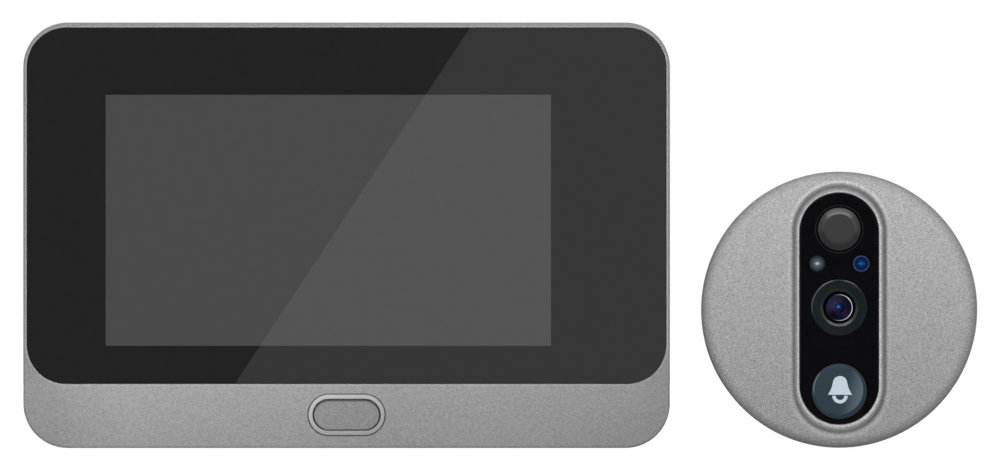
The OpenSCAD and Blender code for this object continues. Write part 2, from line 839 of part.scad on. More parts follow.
// USB socket, power switch and microphone openings in the lower edge
module lower_edge_openings() {
    translate([usb_x, rear_step - past, usb_z]) rotate([-90, 0, 0])
        linear_extrude(past + usb_sink + usb_depth + fit) stadium(usb_w + 2 * fit, usb_h + 2 * fit);
    translate([switch_x, 0, lever_z]) {
        translate([-finger_w / 2, rear_step - past, -finger_h / 2])
            cube([finger_w, past + finger_depth, finger_h]);
        translate([-(lever_w + switch_travel) / 2 - moving_gap, 0, -lever_h / 2 - moving_gap])
            cube([lever_w + switch_travel + 2 * moving_gap, rear_in + past, lever_h + 2 * moving_gap]);
        translate([-switch_w / 2 - fit, switch_y - fit, -switch_h / 2 - fit])
            cube([switch_w + 2 * fit, switch_d + 2 * fit, switch_h + 2 * fit]);
    }
    translate([mic_x, rear_step - past, mic_z]) rotate([-90, 0, 0]) rod(mic_hole_r, 0, case_wall + 2 * past);
}

// Glass and display

module cover_glass() {
    color([0.1, 0.11, 0.12, 0.5]) at_monitor() translate([0, glass_y, 0])
        plate(glass_z, front_z - glass_drop) rounded_rect(glass_w, glass_h, glass_corner_r);
}

module glass_mask() {
    color(black) at_monitor() difference() {
        translate([0, glass_y, 0]) plate(mask_z, glass_z) rounded_rect(glass_w, glass_h, glass_corner_r);
        translate([screen_x, screen_y, 0]) block(screen_w, screen_h, mask_z - past, glass_z + past);
    }
}

module glass_tape() {
    color(graphite) at_monitor() translate([0, glass_y, 0]) difference() {
        plate(ledge_z, mask_z) rounded_rect(glass_w, glass_h, glass_corner_r);
        plate(ledge_z - past, mask_z + past)
            rounded_rect(glass_w - 2 * tape_w, glass_h - 2 * tape_w, glass_corner_r - tape_w);
    }
}

module lcd_gasket() {
    color(graphite) at_monitor() difference() {
        translate([screen_x, lcd_y, 0])
            block(lcd_w - 2 * tray_in, lcd_h - 2 * tray_in, lcd_front_z, front_in_z);
        translate([screen_x, screen_y, 0]) block(window_w, window_h, lcd_front_z - past, front_in_z + past);
    }
}

module lcd_panel() {
    color([0.3, 0.31, 0.32]) at_monitor() translate([screen_x, lcd_y, 0])
        block(lcd_w - 2 * tray_in, lcd_h - 2 * tray_in, panel_back_z, lcd_front_z);
}

module lcd_backlight() {
    color("white") at_monitor() translate([screen_x, lcd_y, 0])
        block(lcd_w - 2 * tray_in, lcd_h - 2 * tray_in, lcd_back_z + tray_t, panel_back_z);
}

// Open sheet-metal tray, notched for the flex
module lcd_tray() {
    color(steel) at_monitor() difference() {
        translate([screen_x, lcd_y, 0]) difference() {
            block(lcd_w, lcd_h, lcd_back_z, lcd_front_z - part_gap);
            block(lcd_w - 2 * tray_t, lcd_h - 2 * tray_t, lcd_back_z + tray_t, lcd_front_z + past);
        }
        translate([flex_x, lcd_low, 0])
            block(flex_w + past, 2 * tray_in, panel_back_z - part_gap, lcd_front_z + past);
    }
}

// Flat flex that folds behind the display to the main board
module lcd_flex() {
    start_y = lcd_low + tray_in;
    end_y = flex_socket_y;
    middle_z = (flex_high_z + flex_low_z) / 2 + flex_t / 2;
    color([0.85, 0.5, 0.15]) at_monitor() translate([flex_x - flex_w / 2, 0, 0])
        rotate([90, 0, 90]) linear_extrude(flex_w) {
            translate([flex_bend_y, flex_high_z]) square([start_y - flex_bend_y, flex_t]);
            translate([flex_bend_y, flex_low_z]) square([end_y - flex_bend_y, flex_t]);
            translate([flex_bend_y, middle_z]) difference() {
                for (turn = [90, 180]) rotate(turn) quarter(flex_bend_r + flex_t / 2);
                circle(flex_bend_r - flex_t / 2);
            }
        }
}

// Main board

module main_board() {
    color(board_green) at_monitor() difference() {
        translate([0, (board_low + board_high) / 2, 0]) block(board_w, board_h, board_z, board_top_z);
        for (p = board_fixings) translate(p) rod(board_screw_hole_r, board_z - past, board_top_z + past);
        translate([mic_x, rear_in, 0])
            block(2 * mic_notch, 2 * (mic_d + moving_gap), board_z - past, board_top_z + past);
    }
}

// Each chip: x, y above the board's lower edge, width, height, thickness
module board_chips() {
    color(black) at_monitor() for (c = chips)
        translate([c[0], board_low + c[1], 0]) block(c[2], c[3], board_top_z, board_top_z + c[4]);
}

module shield_can() {
    color(steel) at_monitor() translate([shield_x, shield_y, 0]) difference() {
        block(shield_w, shield_h, board_top_z, board_top_z + shield_d);
        block(shield_w - 2 * sheet_t, shield_h - 2 * sheet_t, board_top_z - past,
            board_top_z + shield_d - sheet_t);
    }
}

module flex_socket() {
    color(cream) at_monitor() translate([flex_x, flex_socket_y, 0]) difference() {
        translate([0, flex_socket_d / 2 - flex_socket_in, 0])
            block(flex_socket_w, flex_socket_d, board_top_z, board_top_z + flex_socket_h);
        translate([0, -flex_socket_in, 0])
            block(flex_w + 2 * fit, 2 * (flex_socket_in + part_gap), flex_low_z - part_gap,
                flex_low_z + flex_t + part_gap);
    }
}

// Socket for the door's ribbon cable, open to the back, with a row of pins
module cable_socket() {
    mouth_z = board_z - cable_socket_h;
    wall = cable_socket_wall;
    color(cream) at_monitor() translate([0, cable_socket_y, 0]) {
        difference() {
            block(cable_socket_w, cable_socket_d, mouth_z, board_z);
            block(cable_socket_w - 2 * wall, cable_socket_d - 2 * wall, mouth_z - past, board_z - wall);
        }
        for (k = [0:cable_pins - 1]) translate([(k - (cable_pins - 1) / 2) * pin_pitch, 0, 0])
            block(pin_w, pin_w, mouth_z + wall / 2, board_z - wall + eps);
    }
}

module usb_socket() {
    color(steel) at_monitor() translate([usb_x, usb_mouth_y, usb_z]) rotate([-90, 0, 0]) {
        difference() {
            linear_extrude(usb_depth) stadium(usb_w, usb_h);
            translate([0, 0, -past]) linear_extrude(usb_depth - usb_back + past)
                stadium(usb_w - 2 * usb_wall, usb_h - 2 * usb_wall);
        }
        translate([0, 0, usb_depth - usb_back - usb_tongue[1]])
            block(usb_tongue[0], usb_tongue[2], 0, usb_tongue[1] + eps);
    }
}

module power_switch_body() {
    color(steel) at_monitor() translate([switch_x, switch_y, lever_z]) difference() {
        translate([-switch_w / 2, 0, -switch_h / 2]) cube([switch_w, switch_d, switch_h]);
        translate([-(lever_w + switch_travel) / 2 - moving_gap, -past, -lever_h / 2 - fit])
            cube([lever_w + switch_travel + 2 * moving_gap, past + switch_pocket, lever_h + 2 * fit]);
    }
}

module power_switch_lever() {
    tip = switch_y + lever_in - lever_tip_y;
    color(black) at_monitor() translate([switch_x - switch_travel / 2, lever_tip_y, lever_z]) difference() {
        translate([-lever_w / 2, 0, -lever_h / 2]) cube([lever_w, tip, lever_h]);
        translate([0, 0, -lever_h]) rod(lever_groove_r, 0, 2 * lever_h);
    }
}

// View button

module view_switch() {
    color(graphite) at_monitor() translate([0, key_y, board_top_z]) tact_body(tact_h, key_travel + rest_gap);
}

module view_switch_stem() {
    color(cream) at_monitor() translate([0, key_y, 0])
        rod(tact_stem_r, tact_top_z - tact_stem_in, tact_stem_z);
}

module view_key() {
    flange_w = key_w + 2 * (key_gap + key_flange);
    flange_h = key_h + 2 * (key_gap + key_flange);
    color(silver) at_monitor() translate([0, key_y, 0]) {
        translate([0, 0, key_flange_z - eps])
            edged_slab(key_w, key_h, key_h / 2, key_front_z - key_flange_z + eps, ring_edge_r);
        plate(key_back_z, key_flange_z) stadium(flange_w, flange_h);
        rod(pusher_r, tact_stem_z, key_back_z + eps);
    }
}

// Ring round the view button, with a crowned band and a flange behind the chin
module key_ring() {
    outer_r = ring_h / 2;
    inner_edge = outer_r - ring_band;
    tall = front_z + ring_proud - ring_back_z;
    color([0.8, 0.81, 0.82]) at_monitor() translate([0, key_y, ring_back_z])
        carried_round(ring_w, ring_h, outer_r) {
            translate([inner_edge, 0]) square([ring_band, tall - ring_edge_r]);
            translate([inner_edge + ring_edge_r, 0]) square([ring_band - 2 * ring_edge_r, tall]);
            translate([outer_r - ring_edge_r, tall - ring_edge_r]) quarter(ring_edge_r);
            translate([inner_edge + ring_edge_r, tall - ring_edge_r]) rotate(90) quarter(ring_edge_r);
            translate([inner_edge, 0]) square([ring_band + ring_flange, ring_flange_t]);
        }
}

// Battery, sound and aerial

module battery() {
    color([0.75, 0.76, 0.78]) at_monitor() translate([0, battery_low + battery_h / 2, 0])
        plate(battery_z, battery_z + battery_t) rounded_rect(battery_w, battery_h, battery_r);
}

module battery_plug() {
    color("white") at_monitor() translate([plug_x, board_high - plug_d / 2, 0])
        block(plug_w, plug_d, board_top_z, board_top_z + plug_h);
}

// Two wires from the battery's edge to its plug
module battery_lead() {
    color([0.6, 0.1, 0.08]) at_monitor() for (sx = [-1, 1])
        translate([plug_x + sx * lead_pitch / 2, board_high, board_top_z + plug_h / 2])
            rotate([-90, 0, 0]) rod(lead_r, 0, lead_space);
}

// Basket and magnet of the speaker, which faces the back
module speaker() {
    color(steel) at_monitor() translate([speaker_x, speaker_y, floor_z]) {
        difference() {
            rod(speaker_r, 0, speaker_h);
            rod(speaker_r - 2 * cone_roll, -past, speaker_h - basket_t);
        }
        rod(magnet_r, speaker_h - eps, speaker_h + magnet_h);
    }
}

module speaker_cone() {
    cone_r = speaker_r - 2 * cone_roll - part_gap;
    color(black) at_monitor() translate([speaker_x, speaker_y, floor_z]) rotate_extrude()
        polygon([[0, cone_high], [cone_cap_r, cone_high], [cone_r, cone_low], [cone_r, cone_low + cone_t],
            [cone_cap_r, cone_high + cone_t], [0, cone_high + cone_t]]);
}

// Two wires from the speaker to the board
module speaker_lead() {
    start_y = speaker_y - speaker_r + speaker_lead_on;
    end_y = board_high - speaker_lead_in;
    color([0.1, 0.1, 0.1]) at_monitor() for (sx = [-1, 1])
        translate([speaker_x + sx * speaker_lead_pitch / 2, end_y, board_top_z + lead_r])
            rotate([-90, 0, 0]) rod(lead_r, 0, start_y - end_y);
}

module microphone() {
    color(steel) at_monitor() translate([mic_x, rear_in, mic_z]) capsule();
}

module aerial() {
    color([0.2, 0.16, 0.05]) at_monitor()
        translate([-aerial_w / 2, monitor_h - rear_in - aerial_t, aerial_z])
            cube([aerial_w, aerial_t, aerial_h]);
}

// Fasteners, pads and bracket

module board_screws() {
    color(steel) at_monitor() for (p = board_fixings)
        translate([p[0], p[1], board_top_z]) mirror([0, 0, 1]) pan_screw(board_screw_l);
}

module case_screws() {
    color(graphite) at_monitor() for (p = case_fixings)
        translate([p[0], p[1], seat_z]) pan_screw(case_screw_l);
}

module back_pads() {
    color(black) at_monitor() for (p = pad_places) translate(p) rod(pad_dia / 2, 0, pad_t);
}

// Sheet-steel bracket with four folded hooks
module wall_bracket() {
    color(steel) at_monitor() translate([0, peephole_y, 0]) {
        difference() {
            plate(0, bracket_t) rounded_rect(bracket_w, bracket_h, bracket_r);
            for (sx = [-1, 1]) translate([sx * fix_spacing / 2, 0, 0])
                rod(fix_hole_dia / 2, -past, bracket_t + past);
            translate([0, -(cable_window_top + cable_window_low) / 2, 0])
                block(cable_window_w, cable_window_low - cable_window_top, -past, bracket_t + past);
            for (sx = [-1, 1], row = hook_rows)
                translate([sx * hook_x, row + bracket_t + hook_fold / 2, 0])
                    block(hook_w, hook_fold, -past, bracket_t + past);
        }
        for (sx = [-1, 1], row = hook_rows) translate([sx * hook_x, row, 0]) {
            translate([-hook_w / 2, 0, bracket_t - eps])
                cube([hook_w, bracket_t, hook_z + eps]);
            translate([-hook_w / 2, 0, hook_z]) cube([hook_w, bracket_t + hook_lip, bracket_t]);
        }
    }
}

// Outdoor unit

module face_shell() {
    color(silver) at_outdoor() difference() {
        union() {
            difference() {
                translate([0, 0, gasket_t]) rotate_extrude() intersection() {
                    round_shoulder(outdoor_r, shell_d, rim_r);
                    polygon([[0, 0], [outdoor_r - shell_draft, 0], [outdoor_r, shell_d - rim_r],
                        [outdoor_r, shell_d], [0, shell_d]]);
                }
                rod(shell_in_r, gasket_t - past, face_in_z);
            }
            translate([0, panel_y, 0]) plate(seat_in_z, face_in_z + eps)
                stadium(panel_w + 2 * seat_margin, panel_h + 2 * seat_margin);
            for (p = outdoor_fixings) translate(p) rod(outdoor_boss_r, plate_z, face_in_z + eps);
        }
        translate([0, panel_y, 0]) {
            moat();
            plate(panel_seat_z, face_z) stadium(panel_w + 2 * panel_gap, panel_h + 2 * panel_gap);
        }
        for (p = outdoor_fixings) translate(p)
            rod(screw_r + thread_gap, plate_z - past, plate_z + outdoor_screw_l);
        seat_holes();
        rotate(outdoor_mic_angle) translate([0, 0, outdoor_mic_z]) rotate([0, 90, 0])
            rod(mic_hole_r, shell_in_r - past, outdoor_r + past);
    }
}

// Hollow round the panel: a ledge, then an S-shaped wall up to the face
module moat() {
    steps = 10;
    run = moat_w - moat_ledge;
    edge = panel_w / 2;
    wall = [for (k = [0:steps]) [edge + moat_ledge + run * k / steps,
        moat_z + moat_depth * (1 - cos(180 * k / steps)) / 2]];
    carried_round(panel_w, panel_h + 2 * moat_end, edge)
        polygon(concat([[0, moat_z]], wall, [[edge + moat_w, face_z + past], [0, face_z + past]]));
}

// Holes behind the panel for the sensor, windows, lens and button
module seat_holes() {
    low = seat_in_z - past;
    high = panel_seat_z + past;
    translate([0, pir_y, 0]) rod(pir_dia / 2 + fit, low, high);
    for (sx = [-1, 1]) translate([sx * led_x, led_y, 0]) rod(led_dia / 2 + led_gap, low, high);
    translate([0, lens_y, 0]) rod(barrel_dia / 2 + fit, low, high);
    translate([0, -bell_drop, 0]) {
        rod(bell_dia / 2 + bell_gap, low, high);
        rod(bell_dia / 2 + seal_gap + 2 * seal_r + seal_room, seal_z - seal_r - seal_room,
            seal_z + seal_r + seal_room);
    }
}

// Holes that show in the panel, the same in its tape
module panel_holes(low, high) {
    translate([0, pir_y, 0]) rod(pir_dia / 2 + pir_hole_gap, low, high);
    for (sx = [-1, 1]) translate([sx * led_x, led_y, 0]) rod(led_dia / 2 + led_gap, low, high);
    translate([0, lens_y, 0]) rod(bezel_dia / 2 + bezel_gap, low, high);
    translate([0, -bell_drop, 0]) rod(bell_dia / 2 + bell_gap, low, high);
}

module lens_panel() {
    panel_edge_r = 0.25;
    color(black) at_outdoor() difference() {
        translate([0, panel_y, panel_z - panel_t])
            edged_slab(panel_w, panel_h, panel_w / 2, panel_t, panel_edge_r);
        panel_holes(panel_z - panel_t - past, panel_z + past);
    }
}

module panel_tape() {
    color(graphite) at_outdoor() difference() {
        translate([0, panel_y, 0]) plate(panel_seat_z, panel_z - panel_t) stadium(panel_w, panel_h);
        panel_holes(panel_seat_z - past, panel_z);
    }
}

// Thin cap with a sloping side, a round shoulder and a flat, held by a flange behind the seat
module pir_lens() {
    r = pir_dia / 2;
    flat = pir_flat_dia / 2;
    top = panel_z + pir_proud;
    steps = 6;
    slope = atan2(pir_proud, r - flat);
    reach = pir_round * tan(slope / 2);
    shoulder = [for (k = [0:steps]) [flat - reach + pir_round * sin(slope * (1 - k / steps)),
        top - pir_round * (1 - cos(slope * (1 - k / steps)))]];
    color([0.28, 0.29, 0.3]) at_outdoor() translate([0, pir_y, 0]) rotate_extrude()
        polygon(concat([[r - pir_wall, flange_z], [r + pir_flange, flange_z], [r + pir_flange, seat_in_z],
            [r, seat_in_z], [r, panel_z]], shoulder, [[0, top], [0, top - pir_wall],
            [flat - pir_wall / 2, top - pir_wall], [r - pir_wall, panel_z - pir_wall / 2]]));
}

module pir_sensor() {
    can_top = flange_z - part_gap;
    color(steel) at_outdoor() translate([0, pir_y, 0]) difference() {
        union() {
            rod(pir_can_r + pir_can_lip, outdoor_top_z, outdoor_top_z + pir_can_lip_t);
            rod(pir_can_r, outdoor_top_z, can_top);
        }
        block(pir_eye[0], pir_eye[1], can_top - pir_eye[2], can_top + past);
    }
}

// Ring round the lens, bevelled outside and chamfered inside
module lens_bezel() {
    r = bezel_dia / 2;
    hole = bezel_hole_dia / 2;
    top = panel_z + bezel_proud;
    color([0.2, 0.22, 0.23]) at_outdoor() translate([0, lens_y, 0]) rotate_extrude()
        polygon([[hole, panel_seat_z], [r, panel_seat_z], [r, top - bezel_edge], [r - bezel_edge, top],
            [hole + bezel_chamfer, top], [hole, top - bezel_chamfer]]);
}

module lens_barrel() {
    lens_seat_z = nose_z - lens_edge_t;
    color(black) at_outdoor() translate([0, lens_y, 0]) difference() {
        union() {
            rod(barrel_dia / 2, barrel_z, barrel_top_z);
            rod(nose_r, barrel_top_z - eps, nose_z);
        }
        rod(barrel_bore_r, barrel_z - past, nose_z + past);
        rod(lens_dia / 2 + lens_gap, lens_seat_z, nose_z + past);
    }
}

// Front lens: a round edge under a spherical crown
module front_lens() {
    r = lens_dia / 2;
    crown_r = (r * r + lens_crown * lens_crown) / (2 * lens_crown);
    color([0.15, 0.14, 0.35, 0.6]) at_outdoor() translate([0, lens_y, nose_z - lens_edge_t]) {
        rod(r, 0, lens_edge_t);
        translate([0, 0, lens_edge_t]) rotate_extrude() intersection() {
            translate([0, lens_crown - crown_r]) circle(crown_r);
            square([r, lens_crown]);
        }
    }
}

module lens_holder() {
    color(black) at_outdoor() translate([0, lens_y, 0]) difference() {
        block(holder_w, holder_w, outdoor_top_z, outdoor_top_z + holder_h);
        rod(barrel_dia / 2 + thread_gap, outdoor_top_z - past, outdoor_top_z + holder_h + past);
    }
}

module image_sensor() {
    color([0.12, 0.2, 0.16]) at_outdoor() translate([0, lens_y, 0])
        block(sensor_w, sensor_w, outdoor_top_z, outdoor_top_z + sensor_h);
}

// Clear light pipe with a crowned front and a flange behind the seat
module small_window() {
    r = led_dia / 2;
    crown_r = (r * r + led_crown * led_crown) / (2 * led_crown);
    rod(r, flange_z - eps, panel_z);
    rod(r + led_flange, flange_z, seat_in_z);
    translate([0, 0, panel_z]) rotate_extrude() intersection() {
        translate([0, led_crown - crown_r]) circle(crown_r);
        square([r, led_crown]);
    }
}

module light_sensor_window() {
    color([0.6, 0.61, 0.62]) at_outdoor() translate([-led_x, led_y, 0]) small_window();
}

module status_window() {
    color([0.08, 0.1, 0.35]) at_outdoor() translate([led_x, led_y, 0]) small_window();
}

module board_lights() {
    color("white") at_outdoor() for (sx = [-1, 1]) translate([sx * led_x, led_y, 0])
        block(led_chip[0], led_chip[1], outdoor_top_z, outdoor_top_z + led_chip[2]);
}

// Bell button

module bell_key() {
    r = bell_dia / 2;
    color([0.2, 0.24, 0.28]) at_outdoor() translate([0, -bell_drop, 0]) difference() {
        union() {
            rotate_extrude() polygon([[0, bell_flange_z], [r + bell_flange, bell_flange_z],
                [r + bell_flange, bell_flange_z + flange_t], [r, bell_flange_z + flange_t],
                [r, bell_front_z - bell_bevel / 2], [r - bell_bevel, bell_front_z], [0, bell_front_z]]);
            rod(pusher_r, bell_stem_z, bell_flange_z + eps);
        }
        plate(bell_front_z - sign_depth, bell_front_z + past) bell_outline();
    }
}

module bell_sign() {
    color([0.78, 0.83, 0.86]) at_outdoor() translate([0, -bell_drop, 0])
        plate(bell_front_z - sign_depth, bell_front_z) bell_outline();
}

// Half-width of the bell at a share of its height: a round crown, then a flaring skirt
function bell_half(s) = sign_w / 2 * (sign_shoulder * sqrt(1 - pow(1 - min(s / sign_crown, 1), 2))
    + (1 - sign_shoulder) * pow(s, sign_flare));

module bell_outline() {
    steps = 20;
    right = [for (k = [1:steps]) [bell_half(k / steps), sign_top - sign_h * k / steps]];
    left = [for (k = [steps:-1:1]) [-bell_half(k / steps), sign_top - sign_h * k / steps]];
    translate([sign_side, 0]) polygon(concat([[0, sign_top]], right, left));
    translate([sign_side, sign_top - sign_h - clapper_gap]) difference() {
        for (turn = [180, 270]) rotate(turn) quarter(clapper_r);
        circle(clapper_r - clapper_t);
    }
}

module bell_seal() {
    color(black) at_outdoor() translate([0, -bell_drop, seal_z])
        rotate_extrude() translate([bell_dia / 2 + seal_gap + seal_r, 0]) circle(seal_r);
}

module bell_switch() {
    color(graphite) at_outdoor() translate([0, -bell_drop, outdoor_top_z])
        tact_body(bell_tact_h, bell_travel + rest_gap);
}

module bell_switch_stem() {
    color(cream) at_outdoor() translate([0, -bell_drop, 0])
        rod(tact_stem_r, bell_tact_z - tact_stem_in, bell_stem_z);
}

// Outdoor board, back and fixings

module outdoor_board() {
    color(board_green) at_outdoor() plate(outdoor_board_z, outdoor_top_z) intersection() {
        circle(shell_in_r - outdoor_board_gap);
        square([outdoor_board_w, outdoor_dia], center = true);
    }
}

module outdoor_microphone() {
    color(steel) at_outdoor() rotate(outdoor_mic_angle)
        translate([shell_in_r - outdoor_mic_gap, 0, outdoor_mic_z]) rotate(90) capsule();
}

module outdoor_socket() {
    color(cream) at_outdoor() translate([0, outdoor_socket_y, 0])
        block(outdoor_socket_size[0], outdoor_socket_size[1], outdoor_board_z - outdoor_socket_size[2],
            outdoor_board_z);
}

module rear_plate() {
    color(graphite) at_outdoor() difference() {
        union() {
            rod(shell_in_r - fit, gasket_t, plate_z);
            for (p = outdoor_posts) translate(p) rod(outdoor_post_r, plate_z - eps, outdoor_board_z);
        }
        for (sx = [-1, 1]) translate([sx * fix_spacing / 2, 0, 0])
            rod(post_dia / 2 + post_fit, gasket_t - past, plate_z + past);
        block(outlet_w, outlet_h, gasket_t - past, plate_z + past);
        for (p = outdoor_fixings) translate(p) {
            rod(screw_head_r + fit, gasket_t - past, gasket_t + outdoor_sink);
            rod(screw_r + fit, gasket_t, plate_z + past);
        }
    }
}

module door_gasket() {
    color(black) at_outdoor() difference() {
        rod(outdoor_r - gasket_inset, 0, gasket_t);
        rod(gasket_hole_r, -past, gasket_t + past);
    }
}

// Threaded posts that reach through the door to the bracket's screws
module mount_posts() {
    color(brass) at_outdoor() for (sx = [-1, 1]) translate([sx * fix_spacing / 2, 0, 0]) difference() {
        union() {
            rod(post_dia / 2, -post_length, plate_z + eps);
            rod(post_dia / 2 + post_flange, plate_z, plate_z + post_flange_t);
        }
        rod(post_hole_dia / 2, -post_length - past, post_blind - post_length);
    }
}

module plate_screws() {
    color(steel) at_outdoor() for (p = outdoor_fixings)
        translate([p[0], p[1], gasket_t + outdoor_sink]) pan_screw(outdoor_screw_l - outdoor_blind);
}

front_housing();
rear_cover();
cover_glass();
glass_mask();
glass_tape();
lcd_gasket();
lcd_panel();
lcd_backlight();
lcd_tray();
lcd_flex();
main_board();
board_chips();
shield_can();
flex_socket();
cable_socket();
usb_socket();
power_switch_body();
power_switch_lever();
view_switch();
view_switch_stem();
view_key();
key_ring();
battery();
battery_plug();
battery_lead();
speaker();
speaker_cone();
speaker_lead();
microphone();
aerial();
board_screws();
case_screws();
back_pads();
wall_bracket();
face_shell();
lens_panel();
panel_tape();
pir_lens();
pir_sensor();
lens_bezel();
lens_barrel();
front_lens();
lens_holder();
image_sensor();
light_sensor_window();
status_window();
board_lights();
bell_key();
bell_sign();
bell_seal();
bell_switch();
bell_switch_stem();
outdoor_board();
outdoor_microphone();
outdoor_socket();
rear_plate();
door_gasket();
mount_posts();
plate_screws();
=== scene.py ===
import math

import bpy
import numpy as np
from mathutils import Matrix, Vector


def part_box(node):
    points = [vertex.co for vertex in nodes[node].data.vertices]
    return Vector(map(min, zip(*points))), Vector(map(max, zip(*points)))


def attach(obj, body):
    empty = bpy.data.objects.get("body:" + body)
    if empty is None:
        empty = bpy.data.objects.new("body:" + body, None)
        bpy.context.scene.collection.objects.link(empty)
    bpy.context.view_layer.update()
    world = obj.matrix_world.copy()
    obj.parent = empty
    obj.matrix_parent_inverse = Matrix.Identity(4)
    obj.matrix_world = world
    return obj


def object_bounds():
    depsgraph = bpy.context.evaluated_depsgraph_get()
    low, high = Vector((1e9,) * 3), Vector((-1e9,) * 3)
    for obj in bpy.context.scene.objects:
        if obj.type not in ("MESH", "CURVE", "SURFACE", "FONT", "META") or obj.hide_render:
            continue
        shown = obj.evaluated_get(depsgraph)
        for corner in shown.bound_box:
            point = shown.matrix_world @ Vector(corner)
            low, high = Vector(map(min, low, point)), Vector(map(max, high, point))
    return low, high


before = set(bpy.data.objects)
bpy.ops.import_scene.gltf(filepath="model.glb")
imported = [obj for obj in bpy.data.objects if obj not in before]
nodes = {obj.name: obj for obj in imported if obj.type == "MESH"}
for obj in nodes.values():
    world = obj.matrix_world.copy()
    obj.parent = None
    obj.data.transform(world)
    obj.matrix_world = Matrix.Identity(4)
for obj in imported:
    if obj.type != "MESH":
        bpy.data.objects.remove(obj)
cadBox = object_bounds()
scene = bpy.context.scene
scene.view_settings.view_transform = "Standard"
print("frame loaded:", len(nodes), "nodes")


# small helpers for shader trees

def newFinish(name, sockets):
    # a node material whose constant values sit on the shader's own sockets
    made = bpy.data.materials.new(name)
    made.use_nodes = True
    tree = made.node_tree
    shader = tree.nodes["Principled BSDF"]
    for socket, value in sockets.items():
        shader.inputs[socket].default_value = value
    return made, tree, shader


def addNode(tree, kind, sockets=None, **settings):
    made = tree.nodes.new(kind)
    for name, value in settings.items():
        setattr(made, name, value)
    for name, value in (sockets or {}).items():
        made.inputs[name].default_value = value
    return made


def feed(tree, socket, value):
    # a number is set on the socket, another socket is wired to it
    if isinstance(value, bpy.types.NodeSocket):
        tree.links.new(value, socket)
    else:
        socket.default_value = value


def maths(tree, operation, first, second=None, clamp=False):
    made = addNode(tree, "ShaderNodeMath", operation=operation, use_clamp=clamp)
    feed(tree, made.inputs[0], first)
    if second is not None:
        feed(tree, made.inputs[1], second)
    return made.outputs[0]


def inMillimetres(tree, centre=(0.0, 0.0, 0.0), flat=False):
    # object coordinates in millimetres from a centre, with depth left out where flat
    spot = addNode(tree, "ShaderNodeTexCoord")
    place = addNode(tree, "ShaderNodeMapping")
    place.inputs["Scale"].default_value = (1000.0, 0.0 if flat else 1000.0, 1000.0)
    place.inputs["Location"].default_value = (-centre[0], 0.0 if flat else -centre[1], -centre[2])
    tree.links.new(spot.outputs["Object"], place.inputs["Vector"])
    return place.outputs["Vector"]


def stretched(tree, vector, scale):
    place = addNode(tree, "ShaderNodeMapping")
    place.inputs["Scale"].default_value = scale
    tree.links.new(vector, place.inputs["Vector"])
    return place.outputs["Vector"]


def cloud(tree, vector, scale, detail=2.0):
    made = addNode(tree, "ShaderNodeTexNoise", {"Scale": scale, "Detail": detail})
    tree.links.new(vector, made.inputs["Vector"])
    return made.outputs["Fac"]


def cells(tree, vector, scale, output="Distance"):
    made = addNode(tree, "ShaderNodeTexVoronoi", {"Scale": scale})
    tree.links.new(vector, made.inputs["Vector"])
    return made.outputs[output]


def stripes(tree, vector, scale, direction):
    made = addNode(tree, "ShaderNodeTexWave", {"Scale": scale, "Distortion": 0.0},
                   bands_direction=direction)
    tree.links.new(vector, made.inputs["Vector"])
    return made.outputs["Fac"]


def acrossAndUp(tree, vector):
    made = addNode(tree, "ShaderNodeSeparateXYZ")
    tree.links.new(vector, made.inputs[0])
    return made.outputs["X"], made.outputs["Z"]


def slanted(tree, first, second):
    # the slant of two upright sides: the root of the sum of their squares
    firstSquare = maths(tree, "MULTIPLY", first, first)
    secondSquare = maths(tree, "MULTIPLY", second, second)
    return maths(tree, "SQRT", maths(tree, "ADD", firstSquare, secondSquare))


def fromOutline(tree, x, z, halfX, halfZ, radius):
    # distance outside a rounded rectangle: how far past its inner straight part, less the corner's radius
    past = []
    for value, half in ((x, halfX), (z, halfZ)):
        beyond = maths(tree, "SUBTRACT", maths(tree, "ABSOLUTE", value), half - radius)
        past.append(maths(tree, "MAXIMUM", beyond, 0.0))
    return maths(tree, "SUBTRACT", slanted(tree, *past), radius)


def farOut(tree, vector):
    made = addNode(tree, "ShaderNodeVectorMath", operation="LENGTH")
    tree.links.new(vector, made.inputs[0])
    return made.outputs["Value"]


def rescaled(tree, value, low, high, toLow, toHigh, smooth=False):
    made = addNode(tree, "ShaderNodeMapRange",
                   {"From Min": low, "From Max": high, "To Min": toLow, "To Max": toHigh})
    made.interpolation_type = "SMOOTHSTEP" if smooth else "LINEAR"
    tree.links.new(value, made.inputs["Value"])
    return made.outputs["Result"]


def toned(tree, value, stops):
    # colours along a value: each stop is a place from 0 to 1 and a colour
    made = addNode(tree, "ShaderNodeValToRGB")
    ramp = made.color_ramp
    while len(ramp.elements) < len(stops):
        ramp.elements.new(0.5)
    for element, (place, colour) in zip(ramp.elements, stops):
        element.position = place
        element.color = (*colour, 1.0)
    tree.links.new(value, made.inputs["Fac"])
    return made.outputs["Color"]


def mixedColours(tree, share, first, second):
    made = addNode(tree, "ShaderNodeMix", data_type="RGBA")
    feed(tree, made.inputs["Factor"], share)
    for socket, colour in (("A", first), ("B", second)):
        plain = not isinstance(colour, bpy.types.NodeSocket)
        feed(tree, made.inputs[socket], (*colour, 1.0) if plain else colour)
    return made.outputs["Result"]


def roughened(tree, shader, height, strength, depth):
    made = addNode(tree, "ShaderNodeBump", {"Strength": strength, "Distance": depth})
    tree.links.new(height, made.inputs["Height"])
    tree.links.new(made.outputs["Normal"], shader.inputs["Normal"])


def shade(colour, share):
    return tuple(min(1.0, part * share) for part in colour)


def tint(*parts):
    # a colour as it is read off a screen, from 0 to 255, as light amounts
    return tuple(((part / 255 + 0.055) / 1.055) ** 2.4 for part in parts)


